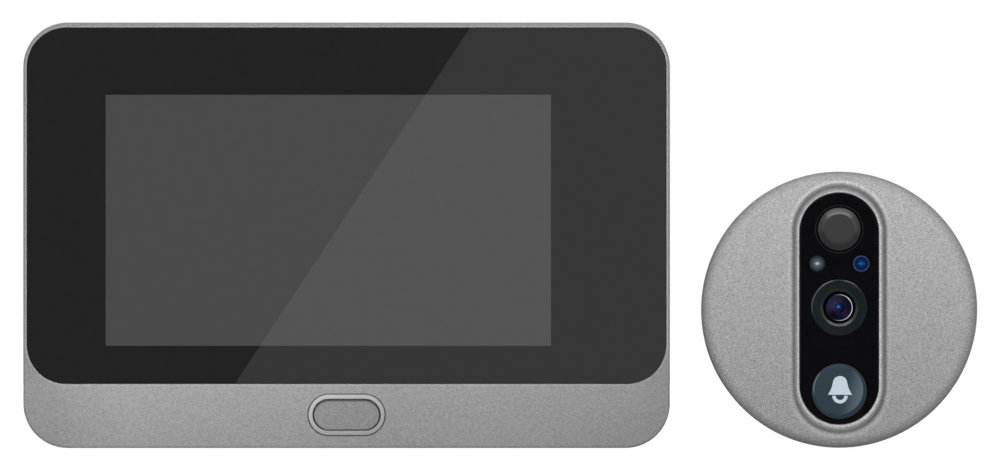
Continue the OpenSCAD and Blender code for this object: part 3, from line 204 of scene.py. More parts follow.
def fading(tree, value, stops):
    # a share along a value: each stop is a value and the share there, with straight steps between
    low, high = stops[0][0], stops[-1][0]
    most = max(share for spot, share in stops)
    place = rescaled(tree, value, low, high, 0.0, 1.0)
    shares = [((spot - low) / (high - low), (share / most,) * 3) for spot, share in stops]
    return maths(tree, "MULTIPLY", toned(tree, place, shares), most)


def dress(finish, *names):
    # gives CAD nodes their finish in place of the plain one
    for name in names:
        for slot in nodes[name].material_slots:
            slot.material = finish


# camera: the photograph looks straight at both fronts

framing = dict(pixel=0.00021342, width=1000, middleX=0.03274, middleZ=-0.00065, frontY=-0.0176,
               lens=600.0, sensor=36.0)


def makeCamera(look):
    reach = look["pixel"] * look["width"] * look["lens"] / look["sensor"]
    lens = bpy.data.cameras.new("camera")
    lens.lens = look["lens"]
    lens.sensor_width = look["sensor"]
    lens.clip_start = 0.01
    lens.clip_end = 60.0
    camera = bpy.data.objects.new("camera", lens)
    camera.location = (look["middleX"], look["frontY"] - reach, look["middleZ"])
    camera.rotation_euler = (math.pi / 2, 0.0, 0.0)
    scene.collection.objects.link(camera)
    scene.camera = camera
    return reach


cameraReach = makeCamera(framing)
print("camera set", round(cameraReach, 3), "m from the fronts")


# stage: white floor, soft lights, and the cards that the black faces mirror

lighting = dict(ambient=0.2, floorGlow=(0.94, 1.0), floorReach=(0.25, 1.0), floorTone=0.25, floorSize=8.0,
                front=dict(power=21.4, size=(1.2, 0.24), place=(0.10, -1.6, 0.06), aim=(0.03, -0.01, -0.01)),
                back=dict(power=11.0, size=(1.4, 1.0), place=(0.03, 1.4, 0.40), aim=(0.03, 0.0, 0.0)),
                floorDrop=0.00002, cardGap=0.002)
cards = dict(distance=0.58, darkGlow=0.03, darkHalf=(0.40, 0.30), glareGlow=0.55,
             edgeTop=(-0.0064, 0.0443), edgeLow=(-0.0566, -0.0317), top=0.060, low=-0.050, right=0.048,
             tableGlow=0.08, tableRear=-0.017, tableLift=0.0004)
softbox = dict(glow=4.5, height=0.75, left=-0.60, right=0.80, front=-0.80, rear=0.12)


def seenDirectly(tree):
    # 1 for rays that show the background: the camera's, mirrored and refracted ones
    path = addNode(tree, "ShaderNodeLightPath")
    some = maths(tree, "ADD", path.outputs["Is Camera Ray"], path.outputs["Is Glossy Ray"])
    return maths(tree, "ADD", some, path.outputs["Is Transmission Ray"], clamp=True)


def makeWorld(look):
    world = bpy.data.worlds.new("studio")
    world.use_nodes = True
    tree = world.node_tree
    sky = tree.nodes["Background"]
    sky.inputs["Color"].default_value = (1.0, 1.0, 1.0, 1.0)
    strength = rescaled(tree, seenDirectly(tree), 0.0, 1.0, look["ambient"], 1.0)
    tree.links.new(strength, sky.inputs["Strength"])
    scene.world = world


def flatPiece(name, corners):
    mesh = bpy.data.meshes.new(name)
    mesh.from_pydata(corners, [], [tuple(range(len(corners)))])
    mesh.update()
    piece = bpy.data.objects.new(name, mesh)
    scene.collection.objects.link(piece)
    return piece


def makeFloor(look, height):
    half = look["floorSize"] / 2
    floor = flatPiece("floor", [(-half, -half, height), (half, -half, height), (half, half, height),
                                (-half, half, height)])
    finish = bpy.data.materials.new("floorPaper")
    finish.use_nodes = True
    tree = finish.node_tree
    tree.nodes.clear()
    paper = addNode(tree, "ShaderNodeBsdfDiffuse", {"Color": (look["floorTone"],) * 3 + (1.0,)})
    glow = addNode(tree, "ShaderNodeEmission")
    spot = addNode(tree, "ShaderNodeTexCoord")
    away = farOut(tree, spot.outputs["Object"])
    # paler away from the object, so that shadows keep to its foot
    level = rescaled(tree, away, *look["floorReach"], *look["floorGlow"], True)
    tree.links.new(maths(tree, "MULTIPLY", seenDirectly(tree), level), glow.inputs["Strength"])
    both = addNode(tree, "ShaderNodeAddShader")
    clear = addNode(tree, "ShaderNodeBsdfTransparent")
    side = addNode(tree, "ShaderNodeNewGeometry")
    choice = addNode(tree, "ShaderNodeMixShader")
    out = addNode(tree, "ShaderNodeOutputMaterial")
    tree.links.new(paper.outputs[0], both.inputs[0])
    tree.links.new(glow.outputs[0], both.inputs[1])
    tree.links.new(side.outputs["Backfacing"], choice.inputs["Fac"])  # open to a look from below
    tree.links.new(both.outputs[0], choice.inputs[1])
    tree.links.new(clear.outputs[0], choice.inputs[2])
    tree.links.new(choice.outputs[0], out.inputs["Surface"])
    floor.data.materials.append(finish)


def makeLight(name, power, size, place, aim):
    lamp = bpy.data.lights.new(name, "AREA")
    lamp.shape = "RECTANGLE"
    lamp.size, lamp.size_y = size
    lamp.energy = power
    light = bpy.data.objects.new(name, lamp)
    light.location = place
    way = np.array(aim) - np.array(place)
    across = math.hypot(way[0], way[1])
    light.rotation_euler = (math.atan2(across, -way[2]), 0.0, math.atan2(way[1], way[0]) - math.pi / 2)
    light.visible_camera = False
    light.visible_glossy = False  # cards and the white room make the highlights
    scene.collection.objects.link(light)


def mirrorOnly(card, glow):
    # a lit card that only mirrored rays see
    finish = bpy.data.materials.new(card.name)
    finish.use_nodes = True
    tree = finish.node_tree
    tree.nodes.clear()
    lit = addNode(tree, "ShaderNodeEmission", {"Strength": glow})
    out = addNode(tree, "ShaderNodeOutputMaterial")
    tree.links.new(lit.outputs[0], out.inputs["Surface"])
    card.data.materials.append(finish)
    card.visible_camera = False
    card.visible_diffuse = False
    card.visible_transmission = False
    card.visible_shadow = False


def makeCard(name, glow, points, gap):
    # a card before the fronts, its corners given where they show on the fronts
    spread = 1.0 + (cards["distance"] - gap) / cameraReach
    depth = framing["frontY"] - cards["distance"] + gap
    corners = [(framing["middleX"] + x * spread, depth, framing["middleZ"] + z * spread) for x, z in points]
    mirrorOnly(flatPiece(name, corners), glow)


def makeTable(look, floor):
    # a dark card on the floor before the fronts, which only mirrored rays see
    wide = look["darkHalf"][0]
    front, rear = framing["frontY"] - look["distance"], look["tableRear"]
    height = floor + look["tableLift"]
    corners = [(-wide, front, height), (wide, front, height), (wide, rear, height), (-wide, rear, height)]
    mirrorOnly(flatPiece("darkTable", corners), look["tableGlow"])


def makeSoftbox(look):
    # a bright card over the fronts, which bevels and slopes that face up mirror
    left, right, front, rear, height = (look[key] for key in ("left", "right", "front", "rear", "height"))
    corners = [(left, front, height), (left, rear, height), (right, rear, height), (right, front, height)]
    mirrorOnly(flatPiece("softbox", corners), look["glow"])


def makeStage(look):
    makeWorld(look)
    makeFloor(look, cadBox[0].z - look["floorDrop"])
    makeLight("frontLight", **look["front"])
    makeLight("backLight", **look["back"])
    makeSoftbox(softbox)
    makeTable(cards, cadBox[0].z)
    wide, tall = cards["darkHalf"]
    dark = [(-wide, -tall), (wide, -tall), (wide, tall), (-wide, tall)]
    makeCard("darkCard", cards["darkGlow"], dark, 0.0)
    # the glare's slanting edge runs through two places on the cover glass
    (topX, topZ), (lowX, lowZ) = cards["edgeTop"], cards["edgeLow"]
    top, low, right = cards["top"], cards["low"], cards["right"]
    slope = (topX - lowX) / (topZ - lowZ)
    startX = topX + (top - topZ) * slope
    endX = topX + (low - topZ) * slope
    glare = [(endX, low), (right, low), (right, top), (startX, top)]
    makeCard("glareCard", cards["glareGlow"], glare, look["cardGap"])


makeStage(lighting)
print("stage set")


# silver paint with a fine metallic grain, and painted shade and highlights

# each list pairs a place in millimetres with a share of the paint's tone there: below 1 painted shade, above
# 1 painted highlight
monitorSilver = dict(tone=0.434, spread=0.17, grain=4.6, flake=4.7, flakeShare=0.6, speckReach=(0.2, 0.8),
                     roughness=(0.46, 0.58), relief=0.10, reliefDepth=0.00003,
                     down=[(-46, 0.83), (-33, 1.0), (-28, 0.84), (30, 0.83), (45, 0.78)],
                     chinBand=(-33.0, -24.0),
                     chin=[(-69, 0.80), (-62, 0.85), (-57, 0.93), (-47, 1.0), (-11, 0.93), (9, 0.86),
                           (30, 0.865), (50, 0.815), (62, 0.762), (69, 0.69)],
                     sides=[(-69, 0.925), (-10, 1.0), (20, 1.0), (69, 0.92)], rim=None,
                     # a painted highlight along the cover glass's edge
                     edging=[dict(node="cover_glass", radius=8.4, inset=0.0,
                                  stops=[(0.0, 1.25), (0.25, 1.25), (0.5, 1.0)]),
                             # painted shade in the gap round the key ring
                             dict(node="key_ring", radius=4.3, inset=0.85,
                                  stops=[(0.0, 0.35), (0.18, 0.35), (0.34, 1.0)])],
                     sockets={"Metallic": 0.0, "Specular IOR Level": 0.12})
# the ring's shade lies on the button's upper edge
keySilver = dict(monitorSilver, tone=0.37,
                 edging=[dict(node="view_key", radius=3.1, inset=1.05, stops=[(-1.0, 1.0), (1.0, 1.0)],
                              ends=[(1.0, [(-0.34, 1.0), (-0.2, 0.5), (-0.05, 0.5), (0.1, 0.7)])])])
# round the black panel: painted shade in the gap behind its edge, a painted highlight on the ledge, painted
# shade in the hollow and a painted highlight on its outer crest
panelEdging = dict(node="lens_panel", radius=8.475, inset=0.0, foot=0.79, hollowReach=(1.55, 1.95),
                   stops=[(-0.6, 0.012), (-0.05, 0.012), (0.0, 1.55), (0.25, 1.45), (0.55, 1.08), (0.9, 0.78),
                          (1.25, 0.58), (1.6, 0.85), (1.95, 1.06), (2.2, 1.1), (2.6, 1.0)],
                   # painted shade: the hollow as dark high up as low down
                   rise=[(-16, 1.08), (-9, 1.04), (6.5, 0.91), (12, 0.875), (17, 0.84), (20.5, 0.84),
                         (24.8, 1.0)],
                   # painted shade: the hollow darker on its right
                   right=[(0.0, 1.12), (0.55, 1.12), (0.9, 0.93), (1.25, 0.85), (1.6, 0.93), (2.0, 1.0)],
                   # painted highlights and shade round the upper and the lower end
                   ends=[(1.0, [(0.0, 0.9), (0.2, 0.8), (0.45, 0.6), (0.65, 0.66), (0.87, 0.78), (1.3, 1.0),
                                (1.92, 0.98), (2.15, 1.2), (2.38, 1.18), (2.6, 1.08), (2.85, 0.95),
                                (3.6, 1.0)]),
                         (-1.0, [(0.1, 0.8), (0.3, 1.16), (0.5, 1.08), (0.65, 0.9), (0.9, 1.02), (1.1, 0.84),
                                 (1.3, 0.71), (1.5, 0.75), (1.67, 1.0), (1.9, 1.2), (2.15, 1.12), (2.4, 1.05),
                                 (2.8, 1.0)])])
# the disc: painted shade darker towards the bottom and round the rim, painted light at the top
discSilver = dict(monitorSilver, tone=0.5, spread=0.5, grain=9.5, flake=10.5, chin=None,
                  down=[(-45, 0.655), (-16.5, 0.835), (12, 1.05)],
                  rim=[(27.3, 1.0), (28.2, 0.88), (29.2, 0.8)], edging=[panelEdging])
# the key ring: painted light paler on the left, painted shade darker on the right and at the bottom
ringSilver = dict(monitorSilver, tone=0.65, spread=0.05, roughness=(0.36, 0.44), relief=0.03, edging=[],
                  down=[(-44, 0.6), (-34, 1.0)], chin=[(-8.4, 1.11), (-5, 1.05), (5, 0.95), (8.4, 0.85)],
                  sockets={"Metallic": 0.1, "Specular IOR Level": 0.4})


def middleOf(name):
    low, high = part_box(name)
    return tuple(500.0 * (low[k] + high[k]) for k in range(3))


def partly(tree, value, share):
    # a factor that counts by a share: 1 where the share is 0
    return maths(tree, "ADD", maths(tree, "MULTIPLY", maths(tree, "SUBTRACT", value, 1.0), share), 1.0)


def edged(tree, x, z, part):
    # painted shade and highlights follow the outline of the piece that is set in, less its hidden flange
    low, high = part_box(part["node"])
    halfX = 500.0 * (high.x - low.x) - part["inset"]
    halfZ = 500.0 * (high.z - low.z) - part["inset"]
    offX = maths(tree, "SUBTRACT", x, 500.0 * (low.x + high.x))
    offZ = maths(tree, "SUBTRACT", z, 500.0 * (low.z + high.z))
    away = fromOutline(tree, offX, offZ, halfX, halfZ, part["radius"])
    if "foot" in part:  # wider round the lower end
        wider = rescaled(tree, offZ, -halfZ, part["radius"] - halfZ, part["foot"], 1.0, True)
        away = maths(tree, "MULTIPLY", away, wider)
    paintedShading = fading(tree, away, part["stops"])
    for way, stops in part.get("ends", []):  # more painted shade and highlights round the upper and the lower end
        upward = maths(tree, "MULTIPLY", offZ, way)
        share = rescaled(tree, upward, halfZ - part["radius"], halfZ, 0.0, 1.0, True)
        paintedShading = maths(tree, "MULTIPLY", paintedShading, partly(tree, fading(tree, away, stops), share))
    if "rise" in part:  # painted shade: the hollow is as dark above as below, and darker on its right
        hollow = rescaled(tree, away, *part["hollowReach"], 1.0, 0.0, True)
        right = rescaled(tree, offX, 0.0, halfX, 0.0, 1.0, True)
        paintedShading = maths(tree, "MULTIPLY", paintedShading, partly(tree, fading(tree, offZ, part["rise"]), hollow))
        paintedShading = maths(tree, "MULTIPLY", paintedShading, partly(tree, fading(tree, away, part["right"]), right))
    return paintedShading


def silverPaint(name, look):
    finish, tree, shader = newFinish(name, look["sockets"])
    spot = inMillimetres(tree)
    x, z = acrossAndUp(tree, spot)
    grain = cloud(tree, spot, look["grain"], 3.0)
    flake = addNode(tree, "ShaderNodeSeparateColor")
    tree.links.new(cells(tree, spot, look["flake"], "Color"), flake.inputs[0])
    speck = maths(tree, "ADD", maths(tree, "MULTIPLY", grain, 1.0 - look["flakeShare"]),
                  maths(tree, "MULTIPLY", flake.outputs[0], look["flakeShare"]))
    # painted shade and light: darker towards the lower edge, and towards the ends of the chin and the frame
    paintedShading = fading(tree, z, look["down"])
    if look["chin"]:
        lowShare = rescaled(tree, z, *look["chinBand"], 1.0, 0.0, True)
        highShare = rescaled(tree, z, *look["chinBand"], 0.0, 1.0, True)
        low = maths(tree, "MULTIPLY", lowShare, fading(tree, x, look["chin"]))
        high = maths(tree, "MULTIPLY", highShare, fading(tree, x, look["sides"]))
        paintedShading = maths(tree, "MULTIPLY", paintedShading, maths(tree, "ADD", low, high))
    # painted shade round the disc's rim
    if look["rim"]:
        away = farOut(tree, inMillimetres(tree, middleOf("face_shell"), flat=True))
        paintedShading = maths(tree, "MULTIPLY", paintedShading, fading(tree, away, look["rim"]))
    # painted shade and highlights round the pieces set in
    for part in look["edging"]:
        paintedShading = maths(tree, "MULTIPLY", paintedShading, edged(tree, x, z, part))
    darkest, palest = look["tone"] * (1 - look["spread"]), look["tone"] * (1 + look["spread"])
    tone = maths(tree, "MULTIPLY", paintedShading, rescaled(tree, speck, *look["speckReach"], darkest, palest))
    gloss = rescaled(tree, speck, *look["speckReach"], *look["roughness"])
    tree.links.new(tone, shader.inputs["Base Color"])
    tree.links.new(gloss, shader.inputs["Roughness"])
    roughened(tree, shader, speck, look["relief"], look["reliefDepth"])
    return finish


dress(silverPaint("monitorSilver", monitorSilver), "front_housing")
dress(silverPaint("keySilver", keySilver), "view_key")
dress(silverPaint("discSilver", discSilver), "face_shell")
dress(silverPaint("ringSilver", ringSilver), "key_ring")
print("silver faces painted")


# cover glass: black print round a dark grey screen, under one polished face

coverGlass = dict(border=(0.0186, 0.0186, 0.0188), screen=(0.082, 0.082, 0.0827), blur=0.06, mottle=0.05,
                  sideMargin=0.0048, lowMargin=0.0080, topMargin=0.0037, rowScale=3.2, veilScale=0.35,
                  rowShare=0.3, borderMottle=0.04, sockets={"Roughness": 0.004, "IOR": 1.5})


def screenPlace(look):
    # the opening in the black print, from the display's own borders
    low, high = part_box("lcd_panel")
    left, right = low.x + look["sideMargin"], high.x - look["sideMargin"]
    return (left, low.z + look["lowMargin"]), (right, high.z - look["topMargin"])


def glassFinish(look):
    finish, tree, shader = newFinish("coverGlass", look["sockets"])
    (left, low), (right, high) = screenPlace(look)
    middle = (500.0 * (left + right), 0.0, 500.0 * (low + high))
    half = (500.0 * (right - left), 500.0 * (high - low))
    spot = inMillimetres(tree, middle, flat=True)
    inside = []
    for value, reach in zip(acrossAndUp(tree, spot), half):
        away = maths(tree, "ABSOLUTE", value)
        inside.append(rescaled(tree, away, reach - look["blur"], reach + look["blur"], 1.0, 0.0, True))
    screen = maths(tree, "MULTIPLY", *inside)
    # the display's fine cell rows, and a faint mottle of its polariser
    scale = look["rowScale"]
    rows = maths(tree, "MULTIPLY", stripes(tree, spot, scale, "X"), stripes(tree, spot, scale, "Z"))
    veil = cloud(tree, spot, look["veilScale"], 3.0)
    weave = maths(tree, "ADD", maths(tree, "MULTIPLY", rows, look["rowShare"]),
                  maths(tree, "MULTIPLY", veil, 1.0 - look["rowShare"]))
    screenTone = toned(tree, weave, [(0.2, shade(look["screen"], 1 - look["mottle"])),
                                    (0.8, shade(look["screen"], 1 + look["mottle"]))])
    borderTone = toned(tree, veil, [(0.3, shade(look["border"], 1 - look["borderMottle"])),
                                    (0.7, shade(look["border"], 1 + look["borderMottle"]))])
    tree.links.new(mixedColours(tree, screen, borderTone, screenTone), shader.inputs["Base Color"])
    return finish


dress(glassFinish(coverGlass), "cover_glass")
print("cover glass and screen done")


# black panel of the outdoor unit and what is set into it

# the lip colour is a painted highlight round the motion sensor's hole
panelBlack = dict(tone=(0.0036, 0.0032, 0.0040), haze=0.4, roughness=(0.03, 0.07), lip=tint(50, 50, 52),
                  lipReach=(4.95, 5.17), sockets={"IOR": 1.49, "Specular IOR Level": 0.4})
# groove is the colour of the painted shade on the cap's foot
pirGrey = dict(tone=tint(54, 54, 54), groove=tint(4, 4, 4), radius=4.5, footWidth=0.08, facet=1.6, grain=6.0,
               sockets={"Roughness": 0.3, "IOR": 1.45, "Specular IOR Level": 0.62})
bezelGrey = dict(tone=tint(15, 24, 27), groove=3.5, grooveDepth=0.12, grain=5.0, spread=0.14,
                 chamferLight=tint(44, 49, 51), chamferEdge=4.05, throat=3.54, throatShade=0.05,
                 rim=5.88, edge=tint(100, 106, 110), edgeWidth=0.2, edgeSpan=0.7, edgeWay=(-0.9, 0.43),
                 sockets={"Roughness": 0.22, "IOR": 1.5, "Specular IOR Level": 0.6})
slateKey = dict(tone=tint(55, 68, 77), grain=4.0, spread=0.16, bevelShade=0.8, bevelWidth=0.1,
                faceShift=(-0.2, 0.35), paintedLight=tint(95, 105, 115), paleWay=(0.97, -0.24), paleReach=(1.5, 4.4),
                rim=5.25, edge=tint(122, 142, 156), edgeWidth=0.16, edgeSpan=0.84, edgeWay=(-0.95, 0.3),
                sockets={"Roughness": 0.4, "IOR": 1.5, "Specular IOR Level": 0.03})
paleSign = dict(tone=tint(206, 222, 231), spread=0.03, relief=0.02,
                sockets={"Roughness": 0.4, "Specular IOR Level": 0.1})
mouldGrain = dict(grain=3.0, spread=0.08, rough=(0.36, 0.5), relief=0.08, depth=0.00003)


def panelFinish(look):
    finish, tree, shader = newFinish("panelBlack", look["sockets"])
    haze = cloud(tree, inMillimetres(tree), look["haze"], 4.0)
    black = toned(tree, haze, [(0.3, shade(look["tone"], 0.8)), (0.7, shade(look["tone"], 1.25))])
    # a thin painted highlight round the motion sensor's hole
    away = farOut(tree, inMillimetres(tree, middleOf("pir_lens"), flat=True))
    low, high = look["lipReach"]
    off = maths(tree, "ABSOLUTE", maths(tree, "SUBTRACT", away, (low + high) / 2))
    band = rescaled(tree, off, 0.0, (high - low) / 2, 1.0, 0.0)
    tree.links.new(mixedColours(tree, band, black, look["lip"]), shader.inputs["Base Color"])
    tree.links.new(rescaled(tree, haze, 0.3, 0.7, *look["roughness"]), shader.inputs["Roughness"])
    return finish


def pirFinish(look):
    # smoked lens cap: faint moulded facets behind a satin face, and painted shade on its foot down in its
    # hole
    finish, tree, shader = newFinish("pirGrey", look["sockets"])
    spot = inMillimetres(tree, middleOf("pir_lens"), flat=True)
    facets = cells(tree, spot, look["facet"])
    face = toned(tree, facets, [(0.0, shade(look["tone"], 0.95)), (0.8, shade(look["tone"], 1.05))])
    # painted shade on the foot beyond the cap's face
    footEnd = look["radius"] + look["footWidth"]
    foot = rescaled(tree, farOut(tree, spot), look["radius"], footEnd, 0.0, 1.0, True)
    tree.links.new(mixedColours(tree, foot, face, look["groove"]), shader.inputs["Base Color"])
    roughened(tree, shader, cloud(tree, spot, look["grain"]), 0.03, 0.00002)
    return finish


def towards(tree, x, z, way):
    # how far a place lies in a direction
    return maths(tree, "ADD", maths(tree, "MULTIPLY", x, way[0]), maths(tree, "MULTIPLY", z, way[1]))


def paintedEdgeHighlight(tree, spot, look):
    # a painted highlight arc: within a width of the rim, where the direction from the middle lies near the
    # edge's way
    radius, width = look["rim"], look["edgeWidth"]
    off = maths(tree, "ABSOLUTE", maths(tree, "SUBTRACT", farOut(tree, spot), radius))
    ring = rescaled(tree, off, 0.3 * width, width, 1.0, 0.0, True)
    along = towards(tree, *acrossAndUp(tree, spot), look["edgeWay"])
    arc = rescaled(tree, along, look["edgeSpan"] * radius, 0.98 * radius, 0.0, 0.8, True)
    return maths(tree, "MULTIPLY", ring, arc)


def bezelFinish(look):
    # turned ring: fine grooves run round the lens, with painted light on the chamfer, painted shade in the
    # throat and a painted highlight arc on the outer edge
    finish, tree, shader = newFinish("bezelGrey", look["sockets"])
    spot = inMillimetres(tree, middleOf("lens_bezel"), flat=True)
    away = farOut(tree, spot)
    grooves = maths(tree, "SINE", maths(tree, "MULTIPLY", away, look["groove"] * 2 * math.pi))
    grain = cloud(tree, spot, look["grain"])
    tone = maths(tree, "ADD", maths(tree, "MULTIPLY", grooves, look["grooveDepth"]), grain)
    body = toned(tree, tone, [(0.3, shade(look["tone"], 1 - look["spread"])),
                              (0.7, shade(look["tone"], 1 + look["spread"]))])
    # painted light on the hole's chamfer
    inner = rescaled(tree, away, look["chamferEdge"] - 0.08, look["chamferEdge"], 1.0, 0.0, True)
    body = mixedColours(tree, inner, body, look["chamferLight"])
    throat = rescaled(tree, away, look["throat"] - 0.06, look["throat"], 1.0, 0.0, True)
    body = mixedColours(tree, throat, body, shade(look["tone"], look["throatShade"]))
    # a painted highlight arc on the outer edge, to the upper left
    edgeHighlight = paintedEdgeHighlight(tree, spot, look)
    tree.links.new(mixedColours(tree, edgeHighlight, body, look["edge"]), shader.inputs["Base Color"])
    roughened(tree, shader, grooves, 0.05, 0.00002)
    return finish


def moulded(name, look):
    # moulded plastic: grain in the colour, the gloss and the relief
    mould = dict(mouldGrain, **look)
    finish, tree, shader = newFinish(name, mould["sockets"])
    fine = cloud(tree, inMillimetres(tree), mould["grain"], 3.0)
    colour = toned(tree, fine, [(0.3, shade(mould["tone"], 1 - mould["spread"])),
                                (0.7, shade(mould["tone"], 1 + mould["spread"]))])
    tree.links.new(colour, shader.inputs["Base Color"])
    if "Roughness" not in mould["sockets"]:
        tree.links.new(rescaled(tree, fine, 0.3, 0.7, *mould["rough"]), shader.inputs["Roughness"])
    roughened(tree, shader, fine, mould["relief"], mould["depth"])
    return finish


def keyFinish(look):
    # slate key: painted light paler towards its right side, painted shade on the bevel, and a painted
    # highlight arc at the upper left
    finish, tree, shader = newFinish("slateKey", look["sockets"])
    middle = middleOf("bell_key")
    spot = inMillimetres(tree, middle, flat=True)
    # the painted bevel shade and highlight arc are centred a little up and to the left
    shiftX, shiftZ = look["faceShift"]
    face = inMillimetres(tree, (middle[0] + shiftX, 0.0, middle[2] + shiftZ), flat=True)
    fine = cloud(tree, spot, look["grain"], 3.0)
    body = toned(tree, fine, [(0.3, shade(look["tone"], 1 - look["spread"])),
                              (0.7, shade(look["tone"], 1 + look["spread"]))])
    # painted light towards the right side
    side = towards(tree, *acrossAndUp(tree, spot), look["paleWay"])
    paintedLight = rescaled(tree, side, *look["paleReach"], 0.0, 1.0)
    body = mixedColours(tree, paintedLight, body, look["paintedLight"])
    # painted shade on the bevel
    bevelEnd = look["rim"] + look["bevelWidth"]
    bevelShade = rescaled(tree, farOut(tree, face), look["rim"], bevelEnd, 0.0, 1.0, True)
    body = mixedColours(tree, bevelShade, body, shade(look["tone"], look["bevelShade"]))
    # a painted highlight arc at the upper left
    edgeHighlight = paintedEdgeHighlight(tree, face, look)
    tree.links.new(mixedColours(tree, edgeHighlight, body, look["edge"]), shader.inputs["Base Color"])
    roughened(tree, shader, fine, 0.05, 0.00003)
    return finish


dress(panelFinish(panelBlack), "lens_panel")
dress(pirFinish(pirGrey), "pir_lens")
dress(bezelFinish(bezelGrey), "lens_bezel")
dress(keyFinish(slateKey), "bell_key")
dress(moulded("paleSign", paleSign), "bell_sign")
print("black panel and its keys done")


# small windows: light pipes painted in rings, with a paler star in the middle

greyWindow = dict(rim=tint(43, 49, 55), body=tint(50, 60, 68), ring=tint(76, 88, 97),
                  core=tint(178, 191, 198), star=(0.95, 0.68), ringEdge=0.55, ringFade=0.17,
                  rimWidth=0.12, edge=0.9, flange=0.55,
                  sockets={"Roughness": 0.15, "IOR": 1.49, "Specular IOR Level": 0.04})
blueWindow = dict(greyWindow, rim=tint(92, 108, 144), body=tint(10, 30, 76), ring=tint(5, 42, 92),
                  core=tint(12, 100, 138), star=(1.25, 0.75), ringEdge=0.42, rimWidth=0.06, edge=0.25)


def windowFinish(name, node, look):
    finish, tree, shader = newFinish(name, look["sockets"])
    low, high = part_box(node)
    radius = 500.0 * (high.x - low.x) - look["flange"]
    spot = inMillimetres(tree, middleOf(node), flat=True)
    x, z = acrossAndUp(tree, spot)
    away = maths(tree, "DIVIDE", farOut(tree, spot), radius)
    ringEdge, rimWidth = look["ringEdge"], look["rimWidth"]
    body = toned(tree, away, [(0.0, look["ring"]), (ringEdge, look["ring"]),
                              (ringEdge + look["ringFade"], look["body"]),
                              (1.0 - 2 * rimWidth, look["body"]), (1.0 - rimWidth, look["rim"]),
                              (1.0, shade(look["rim"], look["edge"]))])
    # a soft paler star, wider than it is high
    across = maths(tree, "DIVIDE", maths(tree, "ABSOLUTE", x), look["star"][0])
    upright = maths(tree, "DIVIDE", maths(tree, "ABSOLUTE", z), look["star"][1])
    star = rescaled(tree, maths(tree, "ADD", across, upright), 0.1, 1.0, 1.0, 0.0, True)
    tree.links.new(mixedColours(tree, star, body, look["core"]), shader.inputs["Base Color"])
    return finish


dress(windowFinish("greyWindow", "light_sensor_window", greyWindow), "light_sensor_window")
dress(windowFinish("blueWindow", "status_window", blueWindow), "status_window")
print("small windows done")


# camera lens: coated front glass held by a bright ring

# gleam is painted reflection, lean painted light and spark a painted highlight
coatedGlass = dict(bands=[(0.0, (14, 52, 112)), (0.13, (14, 50, 108)), (0.25, (14, 38, 86)),
                          (0.34, (20, 22, 52)), (0.41, (38, 33, 60)), (0.455, (70, 54, 76)),
                          (0.50, (42, 38, 68)), (0.66, (44, 40, 72)), (0.78, (38, 36, 66)),
                          (0.90, (46, 44, 70)), (1.0, (14, 13, 22))],
                   gleam=[(-180, 1.0), (-135, 0.15), (-90, 0.32), (-50, 0.65), (0, 0.32), (45, 0.28),
                          (90, 0.75), (135, 1.05), (180, 1.0)], gleamReach=(0.33, 0.5),
                   lean=[(-0.8, 0.36), (0.0, 0.8), (0.9, 1.6)], leanWay=(-0.85, 0.53),
                   spark=tint(100, 140, 196), sparkPlace=(-0.18, 0.16), sparkReach=0.34,
                   crown=0.00045, hazeScale=1.2, haze=0.02,
                   sockets={"Roughness": 0.05, "IOR": 1.5, "Specular IOR Level": 0.05})
# the left colour is painted shade and the right one a painted highlight
holdingRing = dict(profile=[(2.69, 0.03), (2.70, -0.10), (2.72, -0.13), (2.81, -0.13), (2.835, -0.10),
                            (2.85, 0.03)],
                   steps=128, shadedSide=(0.012, 0.012, 0.014), bright=(0.92, 0.93, 0.96), sideReach=(-1.6, 2.5),
                   along=(1.0, 6.0, 1.0), grain=3.0, roughness=(0.22, 0.34),
                   sockets={"Metallic": 0.0, "Specular IOR Level": 0.1})


def turnedSurface(name, profile, centre, steps):
    # each profile point is a radius and a depth, turned about a line along Y through the centre
    profile = np.asarray(profile, float)
    angle = np.linspace(0.0, 2 * math.pi, steps, endpoint=False)
    radius, depth = profile[:, :1], profile[:, 1:]
    points = np.stack([centre[0] + radius * np.cos(angle), centre[1] + depth + 0.0 * angle,
                       centre[2] + radius * np.sin(angle)], axis=-1).reshape(-1, 3)
    row, column = np.meshgrid(np.arange(len(profile)), np.arange(steps), indexing="ij")
    after = (row + 1) % len(profile)
    beside = (column + 1) % steps
    corners = np.stack([row * steps + column, row * steps + beside, after * steps + beside,
                        after * steps + column], axis=-1).reshape(-1, 4)
    mesh = bpy.data.meshes.new(name)
    mesh.from_pydata(points.tolist(), [], corners.tolist())
    mesh.update()
    mesh.polygons.foreach_set("use_smooth", np.ones(len(mesh.polygons), bool))
    mesh.set_sharp_from_angle(angle=math.radians(35))
    piece = bpy.data.objects.new(name, mesh)
    scene.collection.objects.link(piece)
    return piece


def lensEdge(crown):
    # middle of the front glass at the depth of its edge, and its radius
    low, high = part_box("front_lens")
    middle = np.array([(low.x + high.x) / 2, low.y + crown, (low.z + high.z) / 2])
    return middle, (high.x - low.x) / 2


